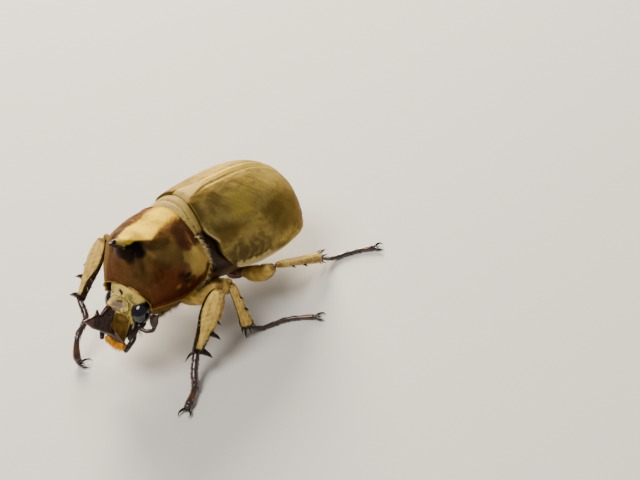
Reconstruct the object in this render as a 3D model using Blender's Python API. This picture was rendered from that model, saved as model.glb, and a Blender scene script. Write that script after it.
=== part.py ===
"""Male rhinoceros beetle, standing still: one closed solid for each hard part of its body.

Four frames carry the parts. The stance frame stands on the floor. The trunk frame is pitched nose-up
in it: its origin is the middle of the wing-case base, level with the wing-case rim. The fore frame, of
the shield, is turned a little in the trunk frame, and the head frame turns back again in the fore frame.
In each of them forward is -Y, the beetle's left is +X and up is +Z.
"""

import math

import bmesh
import bpy
from mathutils import Matrix, Vector

# Driving dimensions, in millimetres and degrees
MM = 0.001
GAP = 0.3                     # clearance between neighbouring parts
BODY_PITCH = 14.0             # nose-up tilt of the trunk
RIM_HEIGHT = 10.5             # floor to wing-case rim at the wing-case base, along the trunk's own up
FORE_YAW = 6.0                # shield turned to the beetle's left
FORE_ROLL = -5.0              # and rolled, left side up
FORE_PIVOT = (0.0, 1.0, 4.0)
HEAD_YAW = -6.0               # the head turns back, to look straight ahead
HEAD_PIVOT = (0.0, -10.2, -2.0)

ELYTRA_LENGTH = 20.0
ELYTRA_HALF_WIDTH = 7.9
ELYTRA_HEIGHT = 9.3
ELYTRA_SHELL = 0.8
ELYTRA_WIDEST = 0.5           # share of the length where they are widest
ELYTRA_HIGHEST = 0.4
ELYTRA_ROOF = 1.3             # above 1 the section is roof-like towards the suture
SHOULDER_CUT = 3.2            # how far back the rounded shoulder reaches at the rim
SHOULDER_TURN = 48.0          # and how far up the flank it starts
SCUTELLUM_LENGTH = 4.5
SCUTELLUM_HALF_WIDTH = 1.7
BELLY_DEPTH = 5.6

EYE_CENTRE = (2.55, -10.45, -3.3)
EYE_RADII = (1.3, 1.4, 1.6)

FEMUR_SAG = 1.0               # the thigh bows down between hip and knee
TARSUS_RADIUS = 0.36
TARSUS_ROOT = 0.35            # bare root of the foot beyond the gap at the shin
CLAW_LENGTH = 1.7
CLAW_DROP = Vector((0, 0, -0.08))

SHIELD_COLOUR = (0.23, 0.12, 0.03)
VELVET_COLOUR = (0.36, 0.27, 0.09)
PALE_COLOUR = (0.62, 0.52, 0.3)
DARK_COLOUR = (0.035, 0.02, 0.018)
BRUSH_COLOUR = (0.75, 0.32, 0.04)
EYE_COLOUR = (0.008, 0.009, 0.012)


# ---------------------------------------------------------------- frames and small helpers

pitch = math.radians(BODY_PITCH)
pivot = Vector(FORE_PIVOT)
TRUNK = Matrix.Translation((0, 0, RIM_HEIGHT * math.cos(pitch))) @ Matrix.Rotation(-pitch, 4, "X")
FORE = (
    Matrix.Translation(pivot)
    @ Matrix.Rotation(math.radians(FORE_YAW), 4, "Z")
    @ Matrix.Rotation(math.radians(FORE_ROLL), 4, "Y")
    @ Matrix.Translation(-pivot)
)
HEAD = (
    Matrix.Translation(HEAD_PIVOT)
    @ Matrix.Rotation(math.radians(HEAD_YAW), 4, "Z")
    @ Matrix.Translation(-Vector(HEAD_PIVOT))
)


def mix(a, b, t):
    return a + (b - a) * t


def ease(t):
    t = min(1.0, max(0.0, t))
    return t * t * (3 - 2 * t)


def curve_point(points, t):
    """A point at share t of a smooth curve through the given points."""
    points = [Vector(p) for p in points]
    marks = [0.0]
    for a, b in zip(points, points[1:]):
        marks.append(marks[-1] + (b - a).length)
    marks = [m / marks[-1] for m in marks]
    i = 0
    while i < len(points) - 2 and t > marks[i + 1]:
        i += 1

    def slope(k):
        lo = max(0, k - 1)
        hi = min(len(points) - 1, k + 1)
        return (points[hi] - points[lo]) / (marks[hi] - marks[lo])

    span = marks[i + 1] - marks[i]
    s = (t - marks[i]) / span
    return (
        points[i] * (2 * s ** 3 - 3 * s ** 2 + 1)
        + slope(i) * span * (s ** 3 - 2 * s ** 2 + s)
        + points[i + 1] * (3 * s ** 2 - 2 * s ** 3)
        + slope(i + 1) * span * (s ** 3 - s ** 2)
    )


def make_material(name, colour, roughness, metallic=0.0):
    material = bpy.data.materials.new(name)
    material.use_nodes = True
    shader = material.node_tree.nodes["Principled BSDF"]
    shader.inputs["Base Color"].default_value = (*colour, 1.0)
    shader.inputs["Roughness"].default_value = roughness
    shader.inputs["Metallic"].default_value = metallic
    return material


def finish_object(name, bm, frame, colour, roughness):
    """Turns a bmesh in millimetres into a named object under its frame's empty."""
    bmesh.ops.recalc_face_normals(bm, faces=bm.faces)
    if bm.calc_volume(signed=True) < 0:
        bmesh.ops.reverse_faces(bm, faces=bm.faces)
    for v in bm.verts:
        v.co *= MM
    mesh = bpy.data.meshes.new(name)
    bm.to_mesh(mesh)
    bm.free()
    mesh.shade_smooth()
    mesh.set_sharp_from_angle(angle=math.radians(38))
    obj = bpy.data.objects.new(name, mesh)
    bpy.context.scene.collection.objects.link(obj)
    obj.parent = frame
    mesh.materials.append(make_material(name, colour, roughness))
    return obj


def add_cap(bm, ring, bulge=Vector((0, 0, 0))):
    centre = bm.verts.new(sum((v.co for v in ring), Vector()) / len(ring) + bulge)
    return [bm.faces.new((a, b, centre)) for a, b in zip(ring, ring[1:] + ring[:1])]


def loft(rings, start_bulge=Vector((0, 0, 0)), end_bulge=Vector((0, 0, 0))):
    """A closed skin through rings of equal length. Returns the bmesh and its side faces by (ring, side)."""
    bm = bmesh.new()
    loops = [[bm.verts.new(p) for p in ring] for ring in rings]
    sides = {}
    for i, (low, high) in enumerate(zip(loops, loops[1:])):
        count = len(low)
        for k in range(count):
            n = (k + 1) % count
            sides[i, k] = bm.faces.new((low[k], low[n], high[n], high[k]))
    add_cap(bm, loops[0], Vector(start_bulge))
    add_cap(bm, loops[-1], Vector(end_bulge))
    return bm, sides


def grow(bm, face, steps):
    """Draws a spike out of a face: each step is (move, scale of the face)."""
    for move, scale in steps:
        face = bmesh.ops.extrude_discrete_faces(bm, faces=[face])["faces"][0]
        centre = face.calc_center_median()
        for v in face.verts:
            v.co = centre + (v.co - centre) * scale + Vector(move)
    return face


def swell(obj, amount):
    """A hidden copy of an object, grown outwards by amount: the cutter that keeps the gap to it."""
    bm = bmesh.new()
    bm.from_mesh(obj.data)
    bm.normal_update()
    moves = [v.normal * amount * MM for v in bm.verts]
    for v, move in zip(bm.verts, moves):
        v.co += move
    mesh = bpy.data.meshes.new(obj.name + "_cutter")
    bm.to_mesh(mesh)
    bm.free()
    cutter = bpy.data.objects.new(obj.name + "_cutter", mesh)
    bpy.context.scene.collection.objects.link(cutter)
    cutter.parent = obj.parent
    cutter.hide_render = True
    cutter.display_type = "WIRE"
    return cutter


def carve(obj, cutter):
    cut = obj.modifiers.new("clear_" + cutter.name, "BOOLEAN")
    cut.operation = "DIFFERENCE"
    cut.solver = "EXACT"
    cut.object = cutter


def ellipsoid(name, centre, radii, tilt, frame, colour, roughness, segments=16, rings=10):
    bm = bmesh.new()
    bmesh.ops.create_uvsphere(bm, u_segments=segments, v_segments=rings, radius=1.0)
    shape = Matrix.Translation(centre) @ tilt @ Matrix.Diagonal((*radii, 1.0))
    bmesh.ops.transform(bm, matrix=shape, verts=bm.verts)
    return finish_object(name, bm, frame, colour, roughness)


# ---------------------------------------------------------------- wing cases and trunk

def elytra_half_width(t, half_width):
    if t > ELYTRA_WIDEST:
        return half_width * math.sqrt(max(0.0, 1 - ((t - ELYTRA_WIDEST) / (1 - ELYTRA_WIDEST)) ** 2.6))
    return half_width * (1 - 0.12 * (1 - t / ELYTRA_WIDEST) ** 2)


def elytra_crest(t, height):
    if t > ELYTRA_HIGHEST:
        return height * math.sqrt(max(0.0, 1 - ((t - ELYTRA_HIGHEST) / (1 - ELYTRA_HIGHEST)) ** 2.3))
    return height * (1 - 0.05 * (1 - t / ELYTRA_HIGHEST) ** 2)


def elytra_point(t, turn, inset=0.0):
    """Share t along the wing cases, turn 0 at the rim to 90 degrees at the suture."""
    x = elytra_half_width(t, ELYTRA_HALF_WIDTH - inset) * math.cos(turn)
    z = elytra_crest(t, ELYTRA_HEIGHT - inset) * math.sin(turn) ** ELYTRA_ROOF
    return Vector((x, (ELYTRA_LENGTH - inset) * t, z))


def make_elytron(name, side, frame, rows=15, columns=10):
    bm = bmesh.new()
    skins = []
    for inset in (0.0, ELYTRA_SHELL):
        grid = []
        for j in range(columns + 1):
            turn = math.pi / 2 * (j / columns) ** 0.9
            across = elytra_half_width(0, ELYTRA_HALF_WIDTH) * math.cos(turn)
            notch = max(0.0, 1 - across / SCUTELLUM_HALF_WIDTH) * SCUTELLUM_LENGTH / ELYTRA_LENGTH
            notch += SHOULDER_CUT / ELYTRA_LENGTH * ease(1 - turn / math.radians(SHOULDER_TURN))
            line = []
            for i in range(rows + 1):
                along = 1 - (1 - i / rows) ** 1.35
                p = elytra_point(mix(notch, 0.997, along), turn, inset)
                p.x = side * max(p.x, GAP / 2)
                line.append(bm.verts.new(p))
            grid.append(line)
        skins.append(grid)
    outer, inner = skins
    for j in range(columns):
        for i in range(rows):
            for g in (outer, inner):
                bm.faces.new((g[j][i], g[j][i + 1], g[j + 1][i + 1], g[j + 1][i]))
        for i in (0, rows):
            bm.faces.new((outer[j][i], outer[j + 1][i], inner[j + 1][i], inner[j][i]))
    for i in range(rows):
        for j in (0, columns):
            bm.faces.new((outer[j][i], outer[j][i + 1], inner[j][i + 1], inner[j][i]))
    return finish_object(name, bm, frame, VELVET_COLOUR, 0.55)


def belly_depth(t):
    return BELLY_DEPTH * math.sqrt(max(0.02, 1 - ((t - 0.25) / 0.8) ** 2))


def trunk_ring(t, sides=20, shrink=1.0):
    """Section of the trunk inside the wing cases, rounded below."""
    inset = ELYTRA_SHELL + GAP + 0.1
    ring = []
    for k in range(sides):
        turn = 2 * math.pi * k / sides
        up = math.sin(turn)
        x = elytra_half_width(t, ELYTRA_HALF_WIDTH - inset) * math.cos(turn)
        if up >= 0:
            z = elytra_crest(t, ELYTRA_HEIGHT - inset) * up ** ELYTRA_ROOF
        else:
            z = -belly_depth(t) * (-up) ** 0.8
            x *= 1 + 0.35 * up
        ring.append(Vector((x * shrink, (ELYTRA_LENGTH - inset) * t, z * shrink)))
    return ring


def make_trunk(frame):
    metathorax, _ = loft([trunk_ring(t) for t in (0.02, 0.1, 0.2, 0.3, 0.4)])
    finish_object("metathorax", metathorax, frame, DARK_COLOUR, 0.4)
    abdomen, _ = loft([trunk_ring(t) for t in (0.42, 0.5, 0.6, 0.7, 0.8, 0.88)])
    finish_object("abdomen", abdomen, frame, VELVET_COLOUR, 0.5)
    tail = [trunk_ring(0.9), trunk_ring(0.94), trunk_ring(0.97), trunk_ring(0.985)]
    pygidium, _ = loft(tail)
    finish_object("pygidium", pygidium, frame, VELVET_COLOUR, 0.5)


def make_scutellum(frame):
    """A small triangular plate between the wing-case bases."""
    thick = 0.55
    length = SCUTELLUM_LENGTH - 1.5 * GAP
    half = SCUTELLUM_HALF_WIDTH - 1.2 * GAP
    rings = []
    for s in (0.0, 0.35, 0.7, 0.96):
        width = half * (1 - s) + 0.04
        under = 0.7 * width
        y = 0.1 + length * s
        crest = elytra_crest(y / ELYTRA_LENGTH, ELYTRA_HEIGHT)
        fall = 0.18 * width
        top = crest - 0.05
        rings.append([
            Vector((width, y, top - fall)), Vector((0, y, top)), Vector((-width, y, top - fall)),
            Vector((-under, y, top - fall - thick)), Vector((0, y, top - thick)),
            Vector((under, y, top - fall - thick)),
        ])
    bm, _ = loft(rings)
    return finish_object("scutellum", bm, frame, PALE_COLOUR, 0.6)


# ---------------------------------------------------------------- shield (pronotum)

SHIELD_RIM = (
    (6.55, -1.6, 1.3), (6.6, -2.6, -0.4), (6.0, -4.1, -1.9),
    (5.2, -6.4, -2.5), (4.6, -8.3, -2.5), (4.0, -10.3, -2.5),
)
SHIELD_CREST = (
    (0, -2.1, 7.5), (0, -4.0, 7.45), (0, -6.0, 6.95), (0, -7.8, 6.7), (0, -9.4, 6.75),
    (0, -10.3, 6.45), (0, -10.8, 5.5), (0, -11.1, 4.0), (0, -11.3, 2.0), (0, -11.4, 0.3),
)
SHIELD_SINUS = 0.5            # how far the hind margin swings forward halfway down each side


def shield_point(u, v):
    """u 0 at the hind margin to 1 at the front margin, v -1 at the right rim to 1 at the left."""
    rim = curve_point(SHIELD_RIM, u)
    crest = curve_point(SHIELD_CREST, u)
    turn = abs(v) * math.pi / 2
    peak = mix(1.0, 0.72, ease(u / 0.3)) if u < 0.4 else mix(0.72, 1.1, ease((u - 0.4) / 0.3))
    bulge = 1.1 * ease(u / 0.4) * (1 - 0.6 * ease((u - 0.75) / 0.25))
    rise = max(0.0, math.cos(turn)) ** peak
    x = rim.x * math.sin(turn) + bulge * 3.0 * math.sin(turn) ** 3 * math.cos(turn)
    y = mix(rim.y, crest.y, rise) - SHIELD_SINUS * math.sin(2 * turn) ** 2 * ease(1 - u / 0.3)
    z = mix(rim.z, crest.z, rise)
    return Vector((math.copysign(x, v), y, z))


def make_shield(frame, rows=14, columns=22):
    rings = []
    for i in range(rows + 1):
        u = i / rows
        ring = [shield_point(u, 1 - 2 * k / columns) for k in range(columns + 1)]
        across = ring[-1] - ring[0]
        ring += [ring[-1] - across * k / 4 for k in range(1, 4)]
        rings.append(ring)
    bm, _ = loft(rings)
    return finish_object("pronotum", bm, frame, SHIELD_COLOUR, 0.25)


def make_shield_horn(frame, shield_cutter, sides=12):
    """The short pointed horn at the front of the shield's crest."""
    root = Vector((0, -9.3, 5.9))
    tip = Vector((0, -13.2, 7.45))
    axis = (tip - root).normalized()
    over = axis.cross(Vector((1, 0, 0)))
    rings = []
    for t, radius in ((0.0, 1.35), (0.25, 1.25), (0.45, 1.05), (0.65, 0.8), (0.83, 0.52), (0.97, 0.25)):
        centre = root.lerp(tip, t) + Vector((0, 0, 0.15 * math.sin(math.pi * t)))
        ring = []
        for k in range(sides):
            turn = 2 * math.pi * k / sides
            ring.append(centre + Vector((1, 0, 0)) * radius * math.cos(turn) + over * radius * math.sin(turn))
        rings.append(ring)
    bm, _ = loft(rings, end_bulge=axis * 0.15)
    horn = finish_object("pronotal_horn", bm, frame, DARK_COLOUR, 0.2)
    carve(horn, shield_cutter)
    return horn


def make_mesothorax(frame):
    """The waist between shield and wing cases, whose pale top shows as the shield bends down."""
    front = [shield_point(0, 1 - 2 * k / 10) for k in range(11)]
    front += [Vector((4.6, -1.5, -1.6)), Vector((-4.6, -1.5, -1.6))][::-1]
    middle = Vector((0, -2.0, 3.5))
    front = [FORE @ (middle + (p - middle) * 0.86 + Vector((0, GAP + 0.1, 0))) for p in front]
    back = []
    for k in range(11):
        turn = math.pi * k / 10
        p = elytra_point(0, turn, 0.9)
        back.append(Vector((p.x, -0.35, p.z)))
    back += [Vector((-5.0, -0.35, -4.6)), Vector((5.0, -0.35, -4.6))]
    middle_ring = [a.lerp(b, 0.5) for a, b in zip(front, back)]
    bm, _ = loft([front, middle_ring, back])
    return finish_object("mesothorax", bm, frame, PALE_COLOUR, 0.6)


def make_prosternum(frame, sides=12):
    """Underside of the first thorax ring, which carries the front legs."""
    stations = ((-3.2, -1.8, 2.6, -4.4), (-4.5, -2.6, 3.6, -5.6), (-6.4, -3.0, 3.8, -5.9),
                (-7.7, -3.1, 3.2, -5.5), (-8.7, -3.3, 2.3, -4.7))
    rings = []
    for y, top, half, bottom in stations:
        ring = []
        for k in range(sides):
            turn = 2 * math.pi * k / sides
            z = mix(bottom, top, 0.5 + 0.5 * math.sin(turn))
            ring.append(Vector((half * math.cos(turn), y, z)))
        rings.append(ring)
    bm, _ = loft(rings)
    return finish_object("prosternum", bm, frame, DARK_COLOUR, 0.4)


# ---------------------------------------------------------------- head

HEAD_STATIONS = (
    # brow point (y, z), throat point (y, z), half width
    ((-11.7, -0.55), (-10.15, -4.0), 2.0),
    ((-11.95, -1.0), (-10.1, -5.2), 2.05),
    ((-12.27, -1.55), (-10.45, -6.0), 2.25),
    ((-12.5, -2.2), (-10.85, -6.5), 2.4),
)


def make_head(frame, sides=16):
    rings = []
    for brow, throat, half in HEAD_STATIONS:
        top = Vector((0, *brow))
        low = Vector((0, *throat))
        ring = []
        for k in range(sides):
            turn = 2 * math.pi * k / sides
            p = low.lerp(top, 0.5 + 0.5 * math.sin(turn))
            ring.append(p + Vector((half * math.cos(turn), 0, 0)))
        rings.append(ring)
    bm, _ = loft(rings)
    return finish_object("head", bm, frame, VELVET_COLOUR, 0.5)


def mirrored_ring(half_ring):
    """A closed ring from points on the left half, first and last on the middle plane."""
    points = [Vector(p) for p in half_ring]
    return points + [Vector((-p.x, p.y, p.z)) for p in reversed(points[1:-1])]


def make_clypeus(frame):
    """The face plate: two hollow facets that meet on the horn's ridge, above a straight front edge."""
    rear = mirrored_ring(((0, -12.9, -2.65), (0.9, -12.75, -2.75), (2.15, -12.3, -3.3),
                          (2.3, -11.75, -4.8), (1.3, -11.35, -6.5), (0, -11.35, -6.9)))
    middle = mirrored_ring(((0, -13.5, -3.5), (0.7, -13.2, -3.75), (2.1, -12.6, -4.6),
                            (2.2, -12.3, -5.7), (1.3, -12.15, -7.0), (0, -12.15, -7.2)))
    front = mirrored_ring(((0, -14.2, -4.3), (0.4, -14.1, -4.45), (2.0, -13.35, -6.6),
                           (2.0, -13.25, -7.05), (1.3, -13.1, -7.3), (0, -13.2, -7.35)))
    bm, _ = loft([rear, middle, front], end_bulge=(0, -0.05, 0))
    return finish_object("clypeus", bm, frame, SHIELD_COLOUR, 0.3)


def make_head_horn(frame, cutters):
    """A blade on the middle of the face, with a tooth on its upper edge."""
    outline = ((-12.9, -6.3), (-13.8, -6.35), (-14.8, -5.6), (-15.8, -4.85), (-16.8, -4.0), (-17.7, -3.05),
               (-18.1, -2.6), (-17.4, -2.45), (-16.1, -2.35), (-15.65, -1.65), (-15.3, -2.6),
               (-14.85, -2.6), (-14.2, -2.0), (-13.5, -2.0), (-13.1, -2.6), (-12.9, -3.4))
    rings = []
    for x, pull in ((0.42, 0.12), (0.3, 0.0), (-0.3, 0.0), (-0.42, 0.12)):
        ring = []
        middle = Vector((x, -14.9, -3.9))
        for y, z in outline:
            p = Vector((x, y, z))
            ring.append(p + (middle - p).normalized() * pull)
        rings.append(ring)
    bm = bmesh.new()
    loops = [[bm.verts.new(p) for p in ring] for ring in rings]
    for low, high in zip(loops, loops[1:]):
        for k in range(len(low)):
            n = (k + 1) % len(low)
            bm.faces.new((low[k], low[n], high[n], high[k]))
    for loop in (loops[0], loops[-1]):
        bmesh.ops.triangulate(bm, faces=[bm.faces.new(loop)])
    horn = finish_object("head_horn", bm, frame, DARK_COLOUR, 0.2)
    for cutter in cutters:
        carve(horn, cutter)
    return horn


def round_ring(centre, direction, radius, sides):
    direction = Vector(direction).normalized()
    across = direction.cross(Vector((0, 0, 1))).normalized()
    over = across.cross(direction)
    ring = []
    for k in range(sides):
        turn = 2 * math.pi * (k + 0.5) / sides
        ring.append(Vector(centre) + across * radius * math.cos(turn) + over * radius * math.sin(turn))
    return ring


def tube(name, stations, frame, colour, roughness, sides=8):
    """A round-ended tube through (point, radius) stations."""
    points = [Vector(p) for p, _ in stations]
    rings = []
    for i, (p, radius) in enumerate(stations):
        ahead = points[min(i + 1, len(points) - 1)] - points[max(i - 1, 0)]
        rings.append(round_ring(p, ahead, radius, sides))
    first = (points[0] - points[1]).normalized() * stations[0][1] * 0.6
    last = (points[-1] - points[-2]).normalized() * stations[-1][1] * 0.6
    bm, _ = loft(rings, first, last)
    return finish_object(name, bm, frame, colour, roughness)


def make_mouth(frame):
    """Orange brush of the mouth under the face plate, and the two palps beside it."""
    rings = []
    for x, deep in ((-1.75, 0.35), (-1.1, 0.85), (0.0, 1.05), (1.1, 0.85), (1.75, 0.35)):
        rings.append([
            Vector((x, -13.3, -7.7)), Vector((x, -12.6, -7.7)),
            Vector((x, -12.2, -7.8 - deep * 0.5)), Vector((x, -12.8, -7.8 - deep)),
            Vector((x, -13.5, -7.8 - deep * 0.7)),
        ])
    bm, _ = loft(rings)
    finish_object("mouth_brush", bm, frame, BRUSH_COLOUR, 0.7)
    for side, name in ((1, "palp_left"), (-1, "palp_right")):
        tube(name, (((side * 2.8, -11.7, -6.1), 0.27), ((side * 2.85, -12.2, -6.6), 0.3),
                    ((side * 2.7, -12.75, -7.2), 0.36), ((side * 2.45, -13.1, -7.9), 0.28)),
             frame, DARK_COLOUR, 0.2)


RIGHT_ANTENNA_SWING = (0.5, 0.8, -0.5)        # the right antenna is folded further back


def make_antennae(frame):
    for side, name in ((1, "antenna_left"), (-1, "antenna_right")):
        x, y, z = (0, 0, 0) if side > 0 else RIGHT_ANTENNA_SWING
        tube(name, (((side * 3.2 + x, -11.1 + y, -5.4 + z), 0.28), ((side * 3.9 + x, -10.9 + y, -5.6 + z), 0.28),
                    ((side * 4.5 + x, -10.5 + y, -5.5 + z), 0.28), ((side * 4.75 + x, -10.3 + y, -4.9 + z), 0.38),
                    ((side * 4.75 + x, -10.15 + y, -4.0 + z), 0.52), ((side * 4.75 + x, -9.95 + y, -3.0 + z), 0.3)),
             frame, DARK_COLOUR, 0.2)


# ---------------------------------------------------------------- legs, in the stance frame

LEGS = {
    "front_left": dict(
        coxa=((3.2, -4.9, 7.2), (1.5, 1.3, 1.3)), hip=(3.9, -4.2, 7.4), knee=(9.2, -0.8, 10.1),
        ankle=(10.3, -7.7, 3.3), broad=(0.77, 0.52, -0.38), size=(1.25, 1.3, 0.75),
        foot=((11.4, -9.4, 1.75), (12.5, -10.4, 0.95), (13.8, -12.6, 0.42), (14.4, -13.8, 0.38)),
        spurs=(3,),
    ),
    "front_right": dict(
        coxa=((-3.2, -5.6, 6.0), (1.5, 1.3, 1.3)), hip=(-4.2, -5.5, 6.3), knee=(-9.1, -4.7, 11.7),
        ankle=(-7.6, -12.0, 5.6), broad=(-0.95, -0.15, -0.2), size=(1.25, 1.3, 0.75),
        foot=((-5.7, -12.9, 4.4), (-4.7, -15.5, 3.3), (-3.9, -16.8, 1.2), (-3.2, -16.9, 0.15)),
        claw_aim=(0.8, 0.6, -0.1), spurs=(1,),
    ),
    "mid_left": dict(
        coxa=((2.7, 2.2, 4.8), (1.6, 1.3, 1.2)), hip=(3.7, 2.0, 5.4), knee=(9.2, 0.8, 9.5),
        ankle=(10.3, 1.4, 1.3), broad=(0.5, 0.8, 0.0), size=(1.1, 0.75, 0.6),
        foot=((11.1, 3.0, 0.4), (12.5, 6.2, 0.33), (14.2, 8.1, 0.33), (15.6, 9.3, 0.35)),
        spurs=(1, 5),
    ),
    "mid_right": dict(
        coxa=((-2.7, 2.2, 4.8), (1.6, 1.3, 1.2)), hip=(-3.7, 2.3, 5.4), knee=(-9.0, 3.0, 8.8),
        ankle=(-10.8, 2.6, 1.3), broad=(-0.5, 0.8, 0.0), size=(1.1, 0.75, 0.6),
        foot=((-11.6, 4.0, 0.4), (-12.9, 7.0, 0.33), (-14.3, 9.0, 0.33), (-15.4, 10.2, 0.35)),
        spurs=(1, 5),
    ),
    "hind_left": dict(
        coxa=((2.6, 6.6, 3.5), (1.7, 1.4, 1.1)), hip=(3.9, 6.9, 3.9), knee=(9.1, 8.4, 6.6),
        ankle=(8.9, 16.6, 2.0), broad=(0.9, 0.1, 0.1), size=(1.2, 0.8, 0.65),
        foot=((9.1, 18.3, 0.6), (9.8, 20.4, 0.33), (11.0, 22.4, 0.33), (12.2, 23.9, 0.35)),
        spurs=(3, 7),
    ),
    "hind_right": dict(
        coxa=((-2.6, 6.6, 3.5), (1.7, 1.4, 1.1)), hip=(-3.9, 6.9, 3.9), knee=(-9.1, 8.6, 6.4),
        ankle=(-9.4, 16.6, 2.0), broad=(-0.9, 0.1, 0.1), size=(1.2, 0.8, 0.65),
        foot=((-9.8, 18.3, 0.6), (-10.7, 20.3, 0.33), (-12.1, 22.0, 0.33), (-13.5, 23.2, 0.35)),
        spurs=(3, 7),
    ),
}
LIMB_SIDES = 8
CARRIERS = {
    "front": ("prosternum",),
    "mid": ("metathorax", "mesothorax"),
    "hind": ("metathorax", "abdomen"),
}


def limb_rings(stations, broad):
    """Rings of an eight-sided limb: a station is (point, half breadth, half thickness)."""
    points = [Vector(p) for p, _, _ in stations]
    rings = []
    axes = []
    for i, (p, half_broad, half_thin) in enumerate(stations):
        ahead = (points[min(i + 1, len(points) - 1)] - points[max(i - 1, 0)]).normalized()
        across = (Vector(broad) - ahead * ahead.dot(Vector(broad))).normalized()
        over = ahead.cross(across)
        ring = []
        for k in range(LIMB_SIDES):
            turn = 2 * math.pi * (k + 0.5) / LIMB_SIDES
            ring.append(Vector(p) + across * half_broad * math.cos(turn) + over * half_thin * math.sin(turn))
        rings.append(ring)
        axes.append((ahead, across, over))
    return rings, axes


def drop_on_floor(bm):
    for v in bm.verts:
        v.co.z = max(v.co.z, 0.0)


def make_femur(name, leg, frame):
    hip = Vector(leg["hip"])
    knee = Vector(leg["knee"])
    size = leg["size"][0]
    stations = []
    for t, scale in ((0.0, 0.55), (0.18, 0.85), (0.42, 1.0), (0.66, 0.95), (0.86, 0.72), (1.0, 0.5)):
        sag = Vector((0, 0, -FEMUR_SAG * 4 * t * (1 - t)))
        stations.append((hip.lerp(knee, t) + sag, size * scale, size * scale * 0.8))
    rings, axes = limb_rings(stations, (0, 0, 1))
    bm, _ = loft(rings, end_bulge=axes[-1][0] * 0.25)
    return finish_object(name, bm, frame, VELVET_COLOUR, 0.5)


def make_tibia(name, leg, frame, front):
    knee = Vector(leg["knee"])
    ankle = Vector(leg["ankle"])
    ahead = (ankle - knee).normalized()
    start = knee + ahead * (leg["size"][0] * 0.5)
    _, broad, thin = leg["size"]
    if front:
        profile = ((0.0, 0.42, 0.8), (0.07, 0.7, 0.9), (0.2, 0.95, 1.0), (0.36, 1.0, 1.0),
                   (0.44, 0.95, 0.97), (0.51, 0.9, 0.95), (0.59, 0.8, 0.92), (0.68, 0.7, 0.88),
                   (0.88, 0.55, 0.8), (0.95, 0.5, 0.75), (1.0, 0.42, 0.65))
    else:
        profile = ((0.0, 0.6, 0.7), (0.12, 0.85, 0.85), (0.4, 0.95, 0.9), (0.7, 1.1, 1.0),
                   (0.92, 1.4, 1.2), (1.0, 1.15, 1.0))
    stations = [(start.lerp(ankle, t), broad * b, thin * c) for t, b, c in profile]
    rings, axes = limb_rings(stations, leg["broad"])
    bm, sides = loft(rings)
    outer = LIMB_SIDES - 1            # the side that faces along the broad direction
    if front:
        teeth = ((4, 0.55), (6, 1.5), (8, 1.5))
    else:
        teeth = ((1, 0.4), (2, 0.4))
    for station, length in teeth:
        forward, across, _ = axes[station]
        grow(bm, sides[station, outer], (
            (across * length * 0.45 + forward * 0.1, 0.62),
            (across * length * 0.55 + forward * 0.2, 0.35),
        ))
    last_side = len(rings) - 2
    for side in leg["spurs"]:
        forward, across, over = axes[last_side]
        turn = 2 * math.pi * (side + 1) / LIMB_SIDES
        out = across * math.cos(turn) + over * math.sin(turn)
        grow(bm, sides[last_side, side], (
            (forward * 0.45 + out * 0.25, 0.6),
            (forward * 0.75 + out * 0.05, 0.35),
        ))
    drop_on_floor(bm)
    return finish_object(name, bm, frame, VELVET_COLOUR, 0.45)


def make_tarsus(name, leg, frame, front):
    """Five joints, narrow at the root and wide at the end, the last one long, with two hooked claws."""
    ankle = Vector(leg["ankle"])
    route = [ankle] + [Vector(p) for p in leg["foot"]]
    first = (route[1] - ankle).normalized()
    route[0] = ankle + first * (GAP + TARSUS_ROOT)
    joints = (0.0, 0.15, 0.29, 0.43, 0.57, 1.0) if front else (0.0, 0.24, 0.42, 0.58, 0.72, 1.0)
    thick = TARSUS_RADIUS * (1.12 if front else 0.95)
    stations = []
    for a, b in zip(joints, joints[1:]):
        profile = ((0.06, 0.76), (0.5, 1.0), (0.94, 1.15))
        if b == 1.0:
            wide = 1.35 if front else 1.15
            profile = ((0.04, 0.76), (0.5, wide), (0.85, wide), (0.98, 0.9))
        for t, scale in profile:
            stations.append((curve_point(route, mix(a, b, t)), thick * scale, thick * scale))
    rings, axes = limb_rings(stations, (1, 0, 0.2))
    bm, sides = loft(rings)
    drop_on_floor(bm)
    last_ring = len(rings) - 2
    forward, across, _ = axes[-1]
    forward = Vector(leg.get("claw_aim", forward))
    forward.z = 0.0
    forward.normalize()
    across = Vector((across.x, across.y, 0.0)).normalized()
    length = CLAW_LENGTH * (1.0 if front else 0.8)
    for side, sign in ((LIMB_SIDES - 1, 1), (LIMB_SIDES // 2 - 1, -1)):
        grow(bm, sides[last_ring, side], (
            (across * sign * 0.22 * length + forward * 0.3 * length, 0.85),
            (across * sign * 0.16 * length + forward * 0.35 * length, 0.75),
            (-across * sign * 0.04 * length + forward * 0.3 * length + CLAW_DROP, 0.4),
        ))
    return finish_object(name, bm, frame, DARK_COLOUR, 0.2)


def make_leg(name, leg, frame, carriers):
    """One leg. The parts of the body that carry it are cut clear of its hip and thigh."""
    front = name.startswith("front")
    centre, radii = leg["coxa"]
    coxa = ellipsoid(name + "_coxa", centre, radii, Matrix.Identity(4), frame, DARK_COLOUR, 0.35, 10, 7)
    coxa_cutter = swell(coxa, GAP)
    femur = make_femur(name + "_femur", leg, frame)
    femur_cutter = swell(femur, GAP)
    for carrier in carriers:
        carve(bpy.data.objects[carrier], coxa_cutter)
        carve(bpy.data.objects[carrier], femur_cutter)
    carve(femur, coxa_cutter)
    carve(make_tibia(name + "_tibia", leg, frame, front), femur_cutter)
    make_tarsus(name + "_tarsus", leg, frame, front)


# ---------------------------------------------------------------- assembly

def make_frame(name, parent=None, matrix=None):
    frame = bpy.data.objects.new(name, None)
    bpy.context.scene.collection.objects.link(frame)
    frame.parent = parent
    if matrix is not None:
        scaled = matrix.copy()
        scaled.translation *= MM
        frame.matrix_basis = scaled
    return frame


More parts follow.
